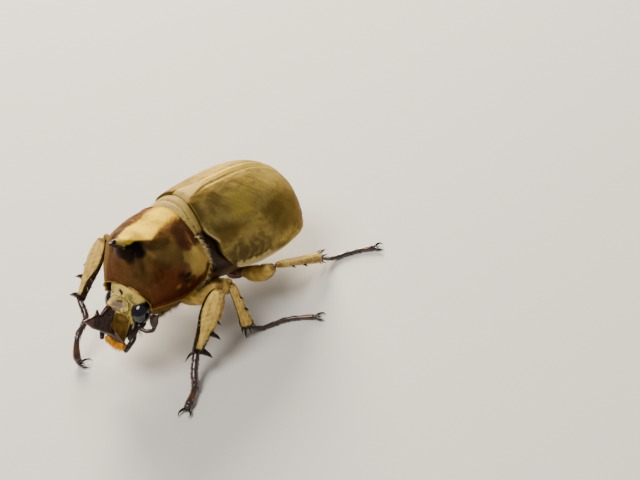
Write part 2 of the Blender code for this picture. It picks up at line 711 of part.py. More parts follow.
def centre_on_floor(stance):
    """Moves the beetle so that the middle of its box is over the origin."""
    bpy.context.view_layer.update()
    low = Vector((math.inf, math.inf, math.inf))
    high = -low
    for obj in bpy.data.objects:
        if obj.type != "MESH" or obj.hide_render:
            continue
        for v in obj.data.vertices:
            p = obj.matrix_world @ v.co
            low = Vector(map(min, low, p))
            high = Vector(map(max, high, p))
    stance.location = (-(low.x + high.x) / 2, -(low.y + high.y) / 2, 0)


def main():
    for obj in list(bpy.data.objects):
        bpy.data.objects.remove(obj)
    stance = make_frame("stance")
    trunk = make_frame("trunk", stance, TRUNK)
    fore = make_frame("fore", trunk, FORE)
    skull = make_frame("skull", fore, HEAD)

    make_elytron("elytron_left", 1, trunk)
    make_elytron("elytron_right", -1, trunk)
    make_trunk(trunk)
    make_scutellum(trunk)
    make_mesothorax(trunk)

    shield = make_shield(fore)
    make_shield_horn(fore, swell(shield, GAP))
    make_prosternum(fore)
    head = make_head(skull)
    clypeus = make_clypeus(skull)
    make_head_horn(skull, (swell(head, GAP), swell(clypeus, GAP)))
    for side, name in ((1, "eye_left"), (-1, "eye_right")):
        centre = (side * EYE_CENTRE[0], *EYE_CENTRE[1:])
        lean = Matrix.Rotation(math.radians(-18), 4, "X")
        eye = ellipsoid(name, centre, EYE_RADII, lean, skull, EYE_COLOUR, 0.1)
        eye_cutter = swell(eye, GAP)
        carve(head, eye_cutter)
        carve(shield, eye_cutter)
    make_mouth(skull)
    make_antennae(skull)

    for name, leg in LEGS.items():
        make_leg(name, leg, stance, CARRIERS[name.split("_")[0]])
    centre_on_floor(stance)


main()
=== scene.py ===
import math

import bpy
import numpy as np
from mathutils import Matrix, Vector


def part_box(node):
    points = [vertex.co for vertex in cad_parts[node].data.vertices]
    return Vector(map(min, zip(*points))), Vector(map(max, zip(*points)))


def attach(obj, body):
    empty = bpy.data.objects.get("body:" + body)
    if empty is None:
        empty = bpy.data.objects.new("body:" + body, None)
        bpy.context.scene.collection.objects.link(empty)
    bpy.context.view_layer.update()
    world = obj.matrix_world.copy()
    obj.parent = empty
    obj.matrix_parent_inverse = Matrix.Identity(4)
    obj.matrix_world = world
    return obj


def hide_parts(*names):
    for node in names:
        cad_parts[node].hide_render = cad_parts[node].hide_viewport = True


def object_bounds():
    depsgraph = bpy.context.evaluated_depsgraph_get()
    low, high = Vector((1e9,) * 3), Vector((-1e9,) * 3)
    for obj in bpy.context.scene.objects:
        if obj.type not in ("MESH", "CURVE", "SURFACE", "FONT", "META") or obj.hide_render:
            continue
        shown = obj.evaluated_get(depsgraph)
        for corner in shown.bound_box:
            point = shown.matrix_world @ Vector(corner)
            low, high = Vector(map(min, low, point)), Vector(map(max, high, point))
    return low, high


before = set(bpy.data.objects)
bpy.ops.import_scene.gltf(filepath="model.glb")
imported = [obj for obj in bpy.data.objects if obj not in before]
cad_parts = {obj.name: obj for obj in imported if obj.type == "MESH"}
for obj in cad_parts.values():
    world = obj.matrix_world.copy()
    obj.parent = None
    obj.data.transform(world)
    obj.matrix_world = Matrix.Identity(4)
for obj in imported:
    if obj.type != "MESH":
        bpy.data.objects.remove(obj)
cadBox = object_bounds()
random = np.random.default_rng(7)
print("frame loaded")

# The frames that carry the pieces, in millimetres: forward is -Y, the beetle's left is +X, up is +Z
stance = {
    "pitch": 14.0,                    # nose-up tilt of the trunk
    "rimHeight": 10.5,                # floor to wing-case rim at the wing-case base
    "foreYaw": 6.0,                   # shield turned to the beetle's left
    "foreRoll": -5.0,
    "forePivot": (0.0, 1.0, 4.0),
    "headYaw": -6.0,                  # the head turns back, to look straight ahead
    "headPivot": (0.0, -10.2, -2.0),
    "leftHip": (3.2, -4.9, 7.2),      # middle of the left front hip ball, which ties the frames to the solids
}


def makeFrames():
    pitch = math.radians(stance["pitch"])
    low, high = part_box("front_left_coxa")
    hip = (low + high) / 2 * 1000
    floor = Matrix.Scale(0.001, 4) @ Matrix.Translation(hip - Vector(stance["leftHip"]))
    lift = Matrix.Translation((0, 0, stance["rimHeight"] * math.cos(pitch)))
    trunk = floor @ lift @ Matrix.Rotation(-pitch, 4, "X")
    pivot = Vector(stance["forePivot"])
    turn = Matrix.Rotation(math.radians(stance["foreYaw"]), 4, "Z")
    roll = Matrix.Rotation(math.radians(stance["foreRoll"]), 4, "Y")
    fore = trunk @ Matrix.Translation(pivot) @ turn @ roll @ Matrix.Translation(-pivot)
    neck = Vector(stance["headPivot"])
    back = Matrix.Rotation(math.radians(stance["headYaw"]), 4, "Z")
    head = fore @ Matrix.Translation(neck) @ back @ Matrix.Translation(-neck)
    return floor, trunk, fore, head


floorFrame, trunkFrame, foreFrame, headFrame = makeFrames()


# small helpers for numbers and shapes

def mix(a, b, t):
    return a + (b - a) * t


def ease(t):
    t = np.clip(t, 0.0, 1.0)
    return t * t * (3 - 2 * t)


def near(value, centre, reach):
    # 1 at the centre, easing to 0 at the reach on both sides
    return ease(1 - np.abs(value - centre) / reach)


def unit(vectors):
    vectors = np.asarray(vectors, float)
    return vectors / np.maximum(np.linalg.norm(vectors, axis=-1, keepdims=True), 1e-12)


def around(sides):
    return 2 * math.pi * np.arange(sides) / sides


def wayAlong(points, axis=0):
    # distance from the first point, measured from point to point
    steps = np.linalg.norm(np.diff(points, axis=axis), axis=-1)
    return np.concatenate([np.take(steps, [0], axis) * 0, np.cumsum(steps, axis=axis)], axis=axis)


def curveAt(points, shares):
    # places at the given shares of a smooth curve through the points
    points = np.asarray(points, float)
    if points.ndim == 1:
        points = np.stack([np.linspace(0, 1, len(points)), points], axis=1)
        return curveAt(points, shares)[..., 1]
    marks = wayAlong(points)
    return curveThrough(marks / marks[-1], points, shares)


def curveThrough(marks, points, shares):
    # the same, with the share of each point given
    marks = np.asarray(marks, float)
    points = np.asarray(points, float)
    shares = np.clip(np.asarray(shares, float), marks[0], marks[-1])
    last = len(marks) - 1
    i = np.clip(np.searchsorted(marks, shares, side="right") - 1, 0, last - 1)
    before = np.maximum(np.arange(last + 1) - 1, 0)
    after = np.minimum(np.arange(last + 1) + 1, last)
    gaps = marks[after] - marks[before]
    slopes = (points[after] - points[before]) / gaps.reshape((-1,) + (1,) * (points.ndim - 1))
    span = marks[i + 1] - marks[i]
    s = (shares - marks[i]) / span
    wider = s.shape + (1,) * (points.ndim - 1)
    span, s = span.reshape(wider), s.reshape(wider)
    return (
        points[i] * (2 * s ** 3 - 3 * s ** 2 + 1)
        + slopes[i] * span * (s ** 3 - 2 * s ** 2 + s)
        + points[i + 1] * (3 * s ** 2 - 2 * s ** 3)
        + slopes[i + 1] * span * (s ** 3 - s ** 2)
    )


def profileAt(stations, shares):
    # each station is (share, values...); gives every value's curve in turn
    stations = np.array(stations, float)
    return np.moveaxis(curveThrough(stations[:, 0], stations[:, 1:], shares), -1, 0)


def ripple(points, size, seed=0):
    # soft uneven swelling between -1 and 1, about size across
    points = np.asarray(points, float) * (2 * math.pi / size)
    total = 0.0
    for k in range(4):
        a = np.array([math.sin(seed + k * 2.3), math.cos(seed * 1.7 + k * 1.1), math.sin(k * 3.1 + 1 + seed)])
        b = np.array([math.cos(k * 1.9 + seed), math.sin(k + 2.2 * seed), math.cos(2.7 * k - seed)])
        total = total + np.sin(points @ unit(a) + seed + k) * np.cos(points @ unit(b) * 0.83 + 2 * k)
    return total / 2.6


def lineDistance(points, line):
    # distance from each point to a polyline
    points = np.asarray(points, float)
    line = np.asarray(line, float)
    if len(line) == 1:
        return np.linalg.norm(points - line[0], axis=-1)
    nearest = np.full(points.shape[:-1], np.inf)
    for a, b in zip(line, line[1:]):
        along = np.clip(((points - a) @ (b - a)) / ((b - a) @ (b - a)), 0, 1)
        nearest = np.minimum(nearest, np.linalg.norm(points - a - along[..., None] * (b - a), axis=-1))
    return nearest


def stroke(points, line, radius, power=1.0):
    # a soft brush drawn along a line: 1 on it, 0 at the radius
    return ease(1 - lineDistance(points, line) / radius) ** power


def snapped(rings, line):
    # a line moved onto the nearest points of the skin
    flat = np.asarray(rings).reshape(-1, 3)
    return [flat[np.argmin(np.linalg.norm(flat - p, axis=1))] for p in np.asarray(line, float)]


def onSkin(rings, line, radius, power=1.0):
    return stroke(rings, snapped(rings, line), radius, power)


def mirrored(line):
    return [(-x, y, z) for x, y, z in line]


def folded(points):
    # the right half laid over the left one, so that a stroke paints both
    return np.abs(points) * (1, 0, 0) + points * (0, 1, 1)


def region(along, across, outline, soft):
    # 1 inside an outline drawn on the unrolled surface, 0 outside, fading over soft millimetres a side
    spots = np.stack([along, across], axis=-1)
    outline = np.array(outline, float)
    distance = lineDistance(spots, np.concatenate([outline, outline[:1]]))
    inside = np.zeros(along.shape, bool)
    for (ax, ay), (bx, by) in zip(outline, np.roll(outline, -1, axis=0)):
        if ay != by:
            crosses = (ay > across) != (by > across)
            inside ^= crosses & (along < (bx - ax) * (across - ay) / (by - ay) + ax)
    return ease(0.5 + np.where(inside, distance, -distance) / (2 * soft))


def gridNormals(grid, wrap=False):
    along = np.gradient(grid, axis=0)
    if wrap:
        padded = np.concatenate([grid[:, -2:], grid, grid[:, :2]], axis=1)
        across = np.gradient(padded, axis=1)[:, 2:-2]
    else:
        across = np.gradient(grid, axis=1)
    return unit(np.cross(along, across))


def outward(rings):
    # normals of a tube of rings, pointing out of it
    normals = gridNormals(rings, wrap=True)
    return normals * np.sign(np.einsum("ijk,ijk->", normals, rings - rings.mean(axis=1, keepdims=True)))


def sculpt(rings, strokes):
    # raises (or hollows) the skin along brushed lines: each stroke is (line, radius, height)
    lift = sum(height * onSkin(rings, line, radius) for line, radius, height in strokes)
    return rings + outward(rings) * lift[..., None]


def ringFaces(rows, columns, closed=True):
    i = np.arange(rows - 1)[:, None] * columns
    k = np.arange(columns if closed else columns - 1)[None, :]
    n = (k + 1) % columns
    return np.stack([i + k, i + n, i + columns + n, i + columns + k], axis=-1).reshape(-1, 4)


def loft(rings):
    # a closed skin through rings of equal length, with a point in the middle of each end
    rows, columns, _ = rings.shape
    points = np.concatenate([rings.reshape(-1, 3), [rings[0].mean(0), rings[-1].mean(0)]])
    k = np.arange(columns)
    n = (k + 1) % columns
    base = (rows - 1) * columns
    start = np.stack([n, k, np.full(columns, rows * columns)], axis=1)
    end = np.stack([base + k, base + n, np.full(columns, rows * columns + 1)], axis=1)
    return points, [ringFaces(rows, columns), start, end]


def signedVolume(points, blocks):
    total = 0.0
    for block in blocks:
        a, b, c = points[block[:, 0]], points[block[:, 1]], points[block[:, 2]]
        total += np.einsum("ij,ij->", a, np.cross(b, c))
        if block.shape[1] == 4:
            total += np.einsum("ij,ij->", a, np.cross(c, points[block[:, 3]]))
    return total


def tubeRings(path, wide, thick, across, sides=24):
    # rings round a path: wide and thick are half sizes along across and square to it
    path = np.asarray(path, float)
    ahead = unit(np.gradient(path, axis=0))
    sideways = np.asarray(across, float)
    turn = around(sides)
    c, s = np.cos(turn), np.sin(turn)
    wide, thick = (np.broadcast_to(size, len(path)) for size in (wide, thick))
    rings = []
    for i, p in enumerate(path):
        sideways = unit(sideways - ahead[i] * (sideways @ ahead[i]))
        over = np.cross(ahead[i], sideways)
        rings.append(p + np.outer(c * wide[i], sideways) + np.outer(s * thick[i], over))
    return np.array(rings)


def roundEnds(shares, start=0.12, end=0.12):
    # a factor that closes a tube's ends in quarter circles, each over its share of the length
    factor = 1.0
    for share, reach in ((shares, start), (1 - shares, end)):
        if reach:
            factor = factor * np.sqrt(np.clip(1 - (1 - np.clip(share / reach, 0, 1)) ** 2, 0.0025, 1))
    return factor


def ballRings(rows, columns, gap):
    # a ball of radius 1 in rings round its upright; gap is the angle left open at each pole
    theta = np.linspace(gap, math.pi - gap, rows)[:, None]
    phi = around(columns)[None, :]
    ball = np.sin(theta) * np.cos(phi), np.sin(theta) * np.sin(phi), np.cos(theta)
    return np.stack(np.broadcast_arrays(*ball), -1)


class Shape:
    # points in millimetres, faces and painted masks, gathered until they become one mesh
    def __init__(self):
        self.points = []
        self.blocks = []
        self.masks = {}
        self.count = 0

    def add(self, points, blocks, **masks):
        flip = signedVolume(points - points.mean(0), blocks) < 0
        for name in set(self.masks) | set(masks):
            past = self.masks.setdefault(name, [np.zeros(self.count)])
            past.append(np.broadcast_to(masks.get(name, 0.0), len(points)))
        self.points.append(points)
        for block in blocks:
            self.blocks.append((block[:, ::-1] if flip else block) + self.count)
        self.count += len(points)

    def addRings(self, rings, **masks):
        # masks have one value for each point of the rings; the tips copy their neighbours
        full = {}
        for name, values in masks.items():
            values = np.broadcast_to(values, rings.shape[:2])
            full[name] = np.concatenate([values.ravel(), [values[0].mean(), values[-1].mean()]])
        self.add(*loft(rings), **full)

    def tube(self, stations, across=(1, 0, 0), rows=80, squash=1.0, **masks):
        # a tube through (point, radius) stations with rounded ends
        points = np.array([p for p, _ in stations], float)
        shares = np.linspace(0, 1, rows)
        marks = wayAlong(points)
        marks /= marks[-1]
        path = curveThrough(marks, points, shares)
        size = curveThrough(marks, [r for _, r in stations], shares) * roundEnds(shares, 0.08, 0.08)
        self.addRings(tubeRings(path, size, size * squash, across, 28), **masks)

    def cone(self, base, points, radius, sides=14, floor=None, **masks):
        # a spine or claw, tapering along a smooth curve and kept above the floor where its level is given
        if floor is not None:
            points = [np.maximum(p, (-99, -99, floor)) for p in points]
        shares = np.linspace(0, 1, 14)
        path = curveAt([base, *points], shares)
        size = radius * (1 - shares ** 1.6) + radius * 0.03
        across = np.cross(path[-1] - path[0], (0.3, 0.2, 1.0))
        self.addRings(tubeRings(path, size, size, across, sides), **masks)


def makePiece(name, shape, place, material, node=None):
    place = np.array(place)
    points = np.concatenate(shape.points) @ place[:3, :3].T + place[:3, 3]
    faces = [face for block in shape.blocks for face in block.tolist()]
    mesh = bpy.data.meshes.new(name)
    mesh.from_pydata(points.tolist(), [], faces)
    for mask, parts in shape.masks.items():
        paint = mesh.attributes.new(mask, "FLOAT", "POINT")
        paint.data.foreach_set("value", np.concatenate(parts).astype(np.float32))
    mesh.shade_smooth()
    mesh.materials.append(material)
    piece = bpy.data.objects.new(name, mesh)
    bpy.context.scene.collection.objects.link(piece)
    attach(piece, "root")
    if node:
        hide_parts(node)
    return piece


def dress(node, shape, place, material):
    # the detailed skin that stands in for one node
    makePiece(node + "_skin", shape, place, material, node)


class Coat:
    # fine tapering hairs gathered into one mesh; each has its place on the coat's own map
    def __init__(self):
        self.points = []
        self.faces = []
        self.spots = []
        self.tips = []
        self.count = 0

    def hair(self, root, way, length, thick, bend, spot):
        shares = np.linspace(0, 1, 6)
        way, bend = unit(way), np.asarray(bend, float)
        along = shares[:, None]
        path = np.asarray(root, float) + way * length * along + bend * length * along ** 2
        size = thick * (1 - shares ** 1.5) + thick * 0.06
        across = np.cross(way, (0.31, 0.17, 0.94))
        points, blocks = loft(tubeRings(path, size, size, across, 4))
        if signedVolume(points - points.mean(0), blocks) < 0:
            blocks = [block[:, ::-1] for block in blocks]
        self.points.append(points)
        self.faces += [block + self.count for block in blocks]
        self.count += len(points)
        along = np.concatenate([np.repeat(shares, 4), [0.0, 1.0]])
        turn = np.concatenate([np.tile(np.arange(4) / 4, 6), [0.5, 0.5]])
        self.spots.append(np.array(spot) + np.stack([turn - 0.5, along - 0.5], axis=1) * 0.003)
        self.tips.append(along)

    def fur(self, rings, count, weight, length, lie, patch, thick=0.034, droop=0.15):
        # hairs over a tube: lie 0 stands up, 1 lies towards the tube's end; patch is its place on the map
        rows, columns, _ = rings.shape
        normals = outward(rings)
        ahead = unit(np.gradient(rings.mean(axis=1), axis=0))
        weight = np.broadcast_to(weight, (rows, columns)).ravel()
        for n in random.choice(rows * columns, count, p=weight / weight.sum()):
            i, k = divmod(int(n), columns)
            way = normals[i, k] * (1 - lie) + ahead[i] * lie + random.normal(0, 0.16, 3)
            spot = (patch[0] + patch[2] * i / rows, patch[1] + patch[3] * k / columns)
            bend = random.normal(0, 0.12, 3) - (0, 0, droop)
            root = rings[i, k] - normals[i, k] * 0.03
            self.hair(root, way, length * random.uniform(0.65, 1.2), thick, bend, spot)

    def make(self, name, place, material):
        shape = Shape()
        shape.points = self.points
        shape.blocks = self.faces
        shape.masks = {"tip": self.tips}
        piece = makePiece(name, shape, place, material)
        corners = np.empty(len(piece.data.loops), np.int32)
        piece.data.loops.foreach_get("vertex_index", corners)
        layer = piece.data.uv_layers.new(name="OFBake")
        layer.data.foreach_set("uv", np.concatenate(self.spots)[corners].ravel().astype(np.float32))


# materials: a value in a node tree is wrapped, so that sums on it read as sums

class Value:
    def __init__(self, finish, socket):
        self.finish = finish
        self.socket = socket

    def maths(self, operation, *values):
        return self.finish.node("ShaderNodeMath", {"operation": operation}, dict(enumerate(values)))

    def __add__(self, other):
        return self.maths("ADD", self, other)

    def __sub__(self, other):
        return self.maths("SUBTRACT", self, other)

    def __rsub__(self, other):
        return self.maths("SUBTRACT", other, self)

    def __mul__(self, other):
        return self.maths("MULTIPLY", self, other)

    __radd__ = __add__
    __rmul__ = __mul__

    def step(self, low, high):
        # 0 below low, 1 above high, soft between
        settings = {"interpolation_type": "SMOOTHSTEP"}
        return self.finish.node("ShaderNodeMapRange", settings, {0: self, 1: low, 2: high})


class Finish:
    def __init__(self, name, **uniform):
        self.material = bpy.data.materials.new(name)
        self.material.use_nodes = True
        self.tree = self.material.node_tree
        self.shader = self.tree.nodes["Principled BSDF"]
        for socket, value in uniform.items():
            self.set(socket.replace("_", " "), value)

    def set(self, socket, value):
        self.feed(self.shader.inputs[socket], value)

    def feed(self, socket, value):
        if isinstance(value, Value):
            self.tree.links.new(value.socket, socket)
        elif isinstance(value, tuple):
            socket.default_value = (*value, 1.0)[:len(socket.default_value)]
        else:
            socket.default_value = value

    def node(self, kind, settings, sockets, out=0):
        node = self.tree.nodes.new(kind)
        for key, value in settings.items():
            setattr(node, key, value)
        for key, value in sockets.items():
            self.feed(node.inputs[key], value)
        return Value(self, node.outputs[out])

    def mask(self, name):
        return self.node("ShaderNodeAttribute", {"attribute_name": name}, {}, "Fac")

    def place(self, stretch=(1.0, 1.0, 1.0)):
        # millimetres on the beetle, squeezed where a pattern is longer one way
        spot = self.node("ShaderNodeTexCoord", {}, {}, "Object")
        scale = tuple(1000 * s for s in stretch)
        return self.node("ShaderNodeVectorMath", {"operation": "MULTIPLY"}, {0: spot, 1: scale})

    def noise(self, place, size, detail, rough=0.55):
        # 0 to 1, its blotches about size millimetres across
        sockets = {"Vector": place, "Scale": 1 / size, "Detail": detail, "Roughness": rough}
        return self.node("ShaderNodeTexNoise", {}, sockets)

    def cells(self, place, size):
        return self.node("ShaderNodeTexVoronoi", {}, {"Vector": place, "Scale": 1 / size}, "Distance")

    def blend(self, factor, a, b):
        # a where factor is 0, b where it is 1
        return self.node("ShaderNodeMix", {"data_type": "RGBA"}, {0: factor, 6: a, 7: b}, 2)

    def bump(self, height, depth):
        # height 0 to 1 stands for depth millimetres
        self.set("Normal", self.node("ShaderNodeBump", {}, {"Height": height, "Distance": depth * 0.001}))


# What a finish does where its own look doesn't say otherwise
plainLook = dict(
    sizes=(0.5, 0.1, 0.06, 0.2),      # of the mottling, the grain, the hairs and the pits
    mottling=(0.38, 0.64),            # where the broad noise turns from the base colour to the mottle
    stretch=(3.0, 1.0, 1.6),          # the hairs are longest along the body
    hair=0.0, tips=0.5, roots=0.5,    # share of silky hair, and how far its tips and roots tint the shell
    hairContrast=3.0,
    ragged=1.0, soft=0.3,             # how wavy and how soft the edges of the coats are
    silk=0.5, specular=0.3,           # metallic sheen, and gloss at right angles
    edge=(1.0, 1.0, 1.0),             # tint of the sheen at a grazing angle
    gloss=0.28, matt=0.5, coat=0.1,   # roughness of bare shell and of hair, and a clear coat on bare shell
    unevenGloss=0.15,
    relief=(0.8, 0.5, 0.3),           # of the hairs, the grain and the pits
    depth=0.03,
)


def shellFinish(name, **look):
    # One finish for every piece: base colour mottled with a second one, then coats laid over it
    # by painted mask. A coat is (mask, colour, share of short silky hair), bare shell is glossier.
    look = plainLook | look
    mottleSize, grainSize, hairSize, pitSize = look["sizes"]
    finish = Finish(
        name, Metallic=look["silk"], Specular_IOR_Level=look["specular"], Specular_Tint=look["edge"])
    place = finish.place()
    broad = finish.noise(place, mottleSize, 4.0, 0.62)
    fine = finish.noise(place, grainSize, 3.0, 0.65)
    hairs = finish.noise(finish.place(look["stretch"]), hairSize, 2.0)
    pits = finish.cells(place, pitSize).step(0.05, 0.45)
    ragged = (broad * 0.55 + fine * 0.45 - 0.5) * look["ragged"]
    colour = finish.blend((broad + (fine - 0.5) * 0.5).step(*look["mottling"]), look["base"], look["mottle"])
    velvet = look["hair"]
    for mask, tone, hair in look["coats"]:
        share = (finish.mask(mask) + ragged).step(0.5 - look["soft"], 0.5 + look["soft"])
        colour = finish.blend(share, colour, tone)
        velvet = velvet + share * (hair - velvet)
    for side, strength, tone in ((hairs - 0.5, "tips", "hairTip"), (0.5 - hairs, "roots", "hairRoot")):
        share = (side * look["hairContrast"] * velvet).step(0.0, 0.6) * look[strength]
        colour = finish.blend(share, colour, look[tone])
    finish.set("Base Color", colour)
    sheen = velvet * (look["matt"] - look["gloss"]) + look["gloss"]
    finish.set("Roughness", sheen + (fine - 0.5) * look["unevenGloss"])
    finish.set("Coat Weight", (1 - velvet) * look["coat"])
    hairRelief, grainRelief, pitRelief = look["relief"]
    relief = hairs * velvet * hairRelief + fine * grainRelief + pits * (1 - velvet) * pitRelief
    finish.bump(relief, look["depth"])
    return finish.material


# wing cases and trunk

elytra = {
    "length": 20.0,
    "halfWidth": 7.9,
    "height": 9.3,
    "shell": 0.8,                     # thickness of the plate
    # share of the length where it is widest, how blunt the tail is, how much it narrows to the front
    "wide": (0.5, 2.6, 0.12),
    "tall": (0.4, 2.3, 0.05),         # the same for its height
    "roof": 1.3,                      # above 1, the sides slope towards the suture like a roof
    # the front edge: (way down from the suture, how far back the edge lies there)
    "frontEdge": ((0.0, 0.0), (5.0, 0.0), (6.5, 0.35), (7.2, 0.9), (8.1, 1.6), (9.2, 1.75), (10.2, 2.0),
                  (11.3, 2.7), (12.0, 3.7), (12.5, 5.0), (12.9, 7.2)),
    # how far the rim hangs down: (y, depth)
    "belly": ((2.5, 0.0), (5.0, 0.55), (7.0, 0.75), (10.0, 0.55), (14.0, 0.0)),
    "notch": (4.5, 1.7),              # the scutellum's place: length, half width
    "callus": ((5.6, 3.2, 5.2), (5.8, 4.2, 5.0)),
    "tailBump": ((4.6, 16.6, 4.6),),
    "seam": 0.06,                     # half the gap between the two wing cases
    "rows": 170,
    "columns": 120,
    # mask, strength, outline (along, down from the suture), softness of its edge
    "blotches": (
        ("bright", 0.6, ((13.5, 2.0), (9.6, 4.2), (10.2, 6.0), (14.2, 5.2), (15.6, 3.0)), 2.2),
        ("bright", 0.8, ((5.6, 5.2), (9.0, 5.4), (7.8, 8.4), (4.4, 8.2)), 1.6),
        ("dark", 0.4, ((5.0, 2.2), (10.0, 2.6), (10.0, 4.4), (5.0, 4.0)), 1.2),
        ("dark", 0.75, ((0.4, 1.8), (0.0, 4.4), (2.0, 6.4), (4.4, 5.8), (4.6, 3.0), (3.0, 1.8)), 1.9),
        ("dark", 1.25, ((19.0, 2.5), (14.0, 5.0), (10.0, 8.5), (11.0, 11.5), (16.0, 11.0), (19.5, 7.0)), 2.6),
        ("dark", 0.95, ((1.2, 9.2), (4.4, 8.8), (5.8, 10.2), (4.6, 12.0), (1.8, 12.2)), 1.0),
    ),
    "look": dict(
        base=(0.285, 0.212, 0.066), mottle=(0.165, 0.118, 0.038), sizes=(1.3, 0.16, 0.07, 0.5),
        hairTip=(0.46, 0.33, 0.05), hairRoot=(0.08, 0.045, 0.008), hair=1.0, tips=0.35, roots=0.4,
        ragged=0.7, soft=0.5, silk=0.6, specular=0.1, edge=(0.75, 0.55, 0.25),
        coats=(
            # lighter tone, and the painted highlight along the suture
            ("bright", (0.38, 0.285, 0.058), 1.0),
            ("dark", (0.095, 0.064, 0.018), 0.8),
            ("grey", (0.060, 0.043, 0.019), 0.8),
            ("pale", (0.56, 0.44, 0.19), 1.0),
        ),
        gloss=0.34, matt=0.45, coat=0.0, relief=(0.8, 0.6, 0.4),
    ),
}


def elytraSwell(t, peak, blunt, narrow):
    tail = np.sqrt(np.clip(1 - (np.clip(t - peak, 0, 1) / (1 - peak)) ** blunt, 0, 1))
    return np.where(t > peak, tail, 1 - narrow * (1 - t / peak) ** 2)


def elytraHalfWidth(t, inset=0.0):
    return (elytra["halfWidth"] - inset) * elytraSwell(t, *elytra["wide"])


def elytraCrest(t, inset=0.0):
    return (elytra["height"] - inset) * elytraSwell(t, *elytra["tall"])


def elytraPoint(t, turn, inset=0.0):
    x = elytraHalfWidth(t, inset) * np.cos(turn)
    z = elytraCrest(t, inset) * np.maximum(np.sin(turn), 0) ** elytra["roof"]
    return np.stack(np.broadcast_arrays(x, (elytra["length"] - inset) * t, z), axis=-1)


def closedShell(shape, outer, inner, masks):
    # two skins of one grid size joined round their edges
    rows, columns, _ = outer.shape
    size = rows * columns
    faces = ringFaces(rows, columns, closed=False)
    index = np.arange(size).reshape(rows, columns)
    edge = np.concatenate([index[0], index[1:, -1], index[-1, -2::-1], index[-2:0:-1, 0]])
    after = np.roll(edge, -1)
    blocks = [faces, faces[:, ::-1] + size, np.stack([after, edge, edge + size, after + size], axis=1)]
    full = {}
    for name, values in masks.items():                  # the inner skin is plain and dark
        inside = 1.3 if name == "dark" else 0.0
        full[name] = np.concatenate([np.broadcast_to(values, (rows, columns)).ravel(), np.full(size, inside)])
    shape.add(np.concatenate([outer.reshape(-1, 3), inner.reshape(-1, 3)]), blocks, **full)


def paintElytron(outer, y, upFlank, fromFront, wrinkles, side):
    # y and s unroll the skin, along it and down from the suture, with wavy edges to what is painted
    uneven = ripple(outer, 3.4, 8 + side)
    s = wayAlong(outer[:, ::-1], axis=1)[:, ::-1] + 0.3 * ripple(outer, 2.3, 4 + side)
    y = y + 0.4 * uneven
    masks = {"bright": 0.0, "dark": 0.0}
    for mask, strength, outline, soft in elytra["blotches"]:
        masks[mask] = masks[mask] + strength * region(y, s, outline, soft)
    # the bright band along the suture is a painted highlight; the streaks and stripes added with it are the
    # cases' own lighter tone
    masks["bright"] += (
        0.9 * ease(1.25 - s / mix(0.9, 1.7, ease((y - 5) / 7)))
        + 0.6 * ease((ripple(np.stack([y * 0.5, s, s * 0], -1), 1.5, 17) - 0.1) / 0.6) * ease((y - 5) / 4)
        + 0.35 * ease(np.sin(s * 2.6 + 0.8 * uneven) - 0.2) * near(y, 6.5, 3.5))
    # painted shade: darker along the front edge, where it tucks under the shield's hind margin
    masks["dark"] += 0.75 * ease(1 - fromFront / 1.6) * ease((8.4 - s) / 0.8) * ease((s - 1.6) / 1.0)
    low = upFlank + 0.35 * ripple(outer, 1.3, 21)
    streaks = 0.9 + 0.22 * np.sin(y * 4.3 + 3.0 * uneven) + 0.3 * ripple(outer, 0.7, 23)
    masks["grey"] = 0.95 * streaks * ease((4.6 - low) / 3.0) * ease((y - 1.6) / 1.6) * ease((13.0 - y) / 6.0)
    lowBand = ease((1.0 - low) / 0.7) * ease((y - 3.2) / 1.0) * ease((12.5 - y) / 4.5)
    frontBand = ease(1 - fromFront / 0.24) * ease((s - 8.6) / 0.6) * ease((12.2 - s) / 0.6)
    masks["pale"] = 0.85 * ease(1 - upFlank / 0.32) + 1.1 * lowBand * (1 + 1.2 * wrinkles) + 1.2 * frontBand
    return masks


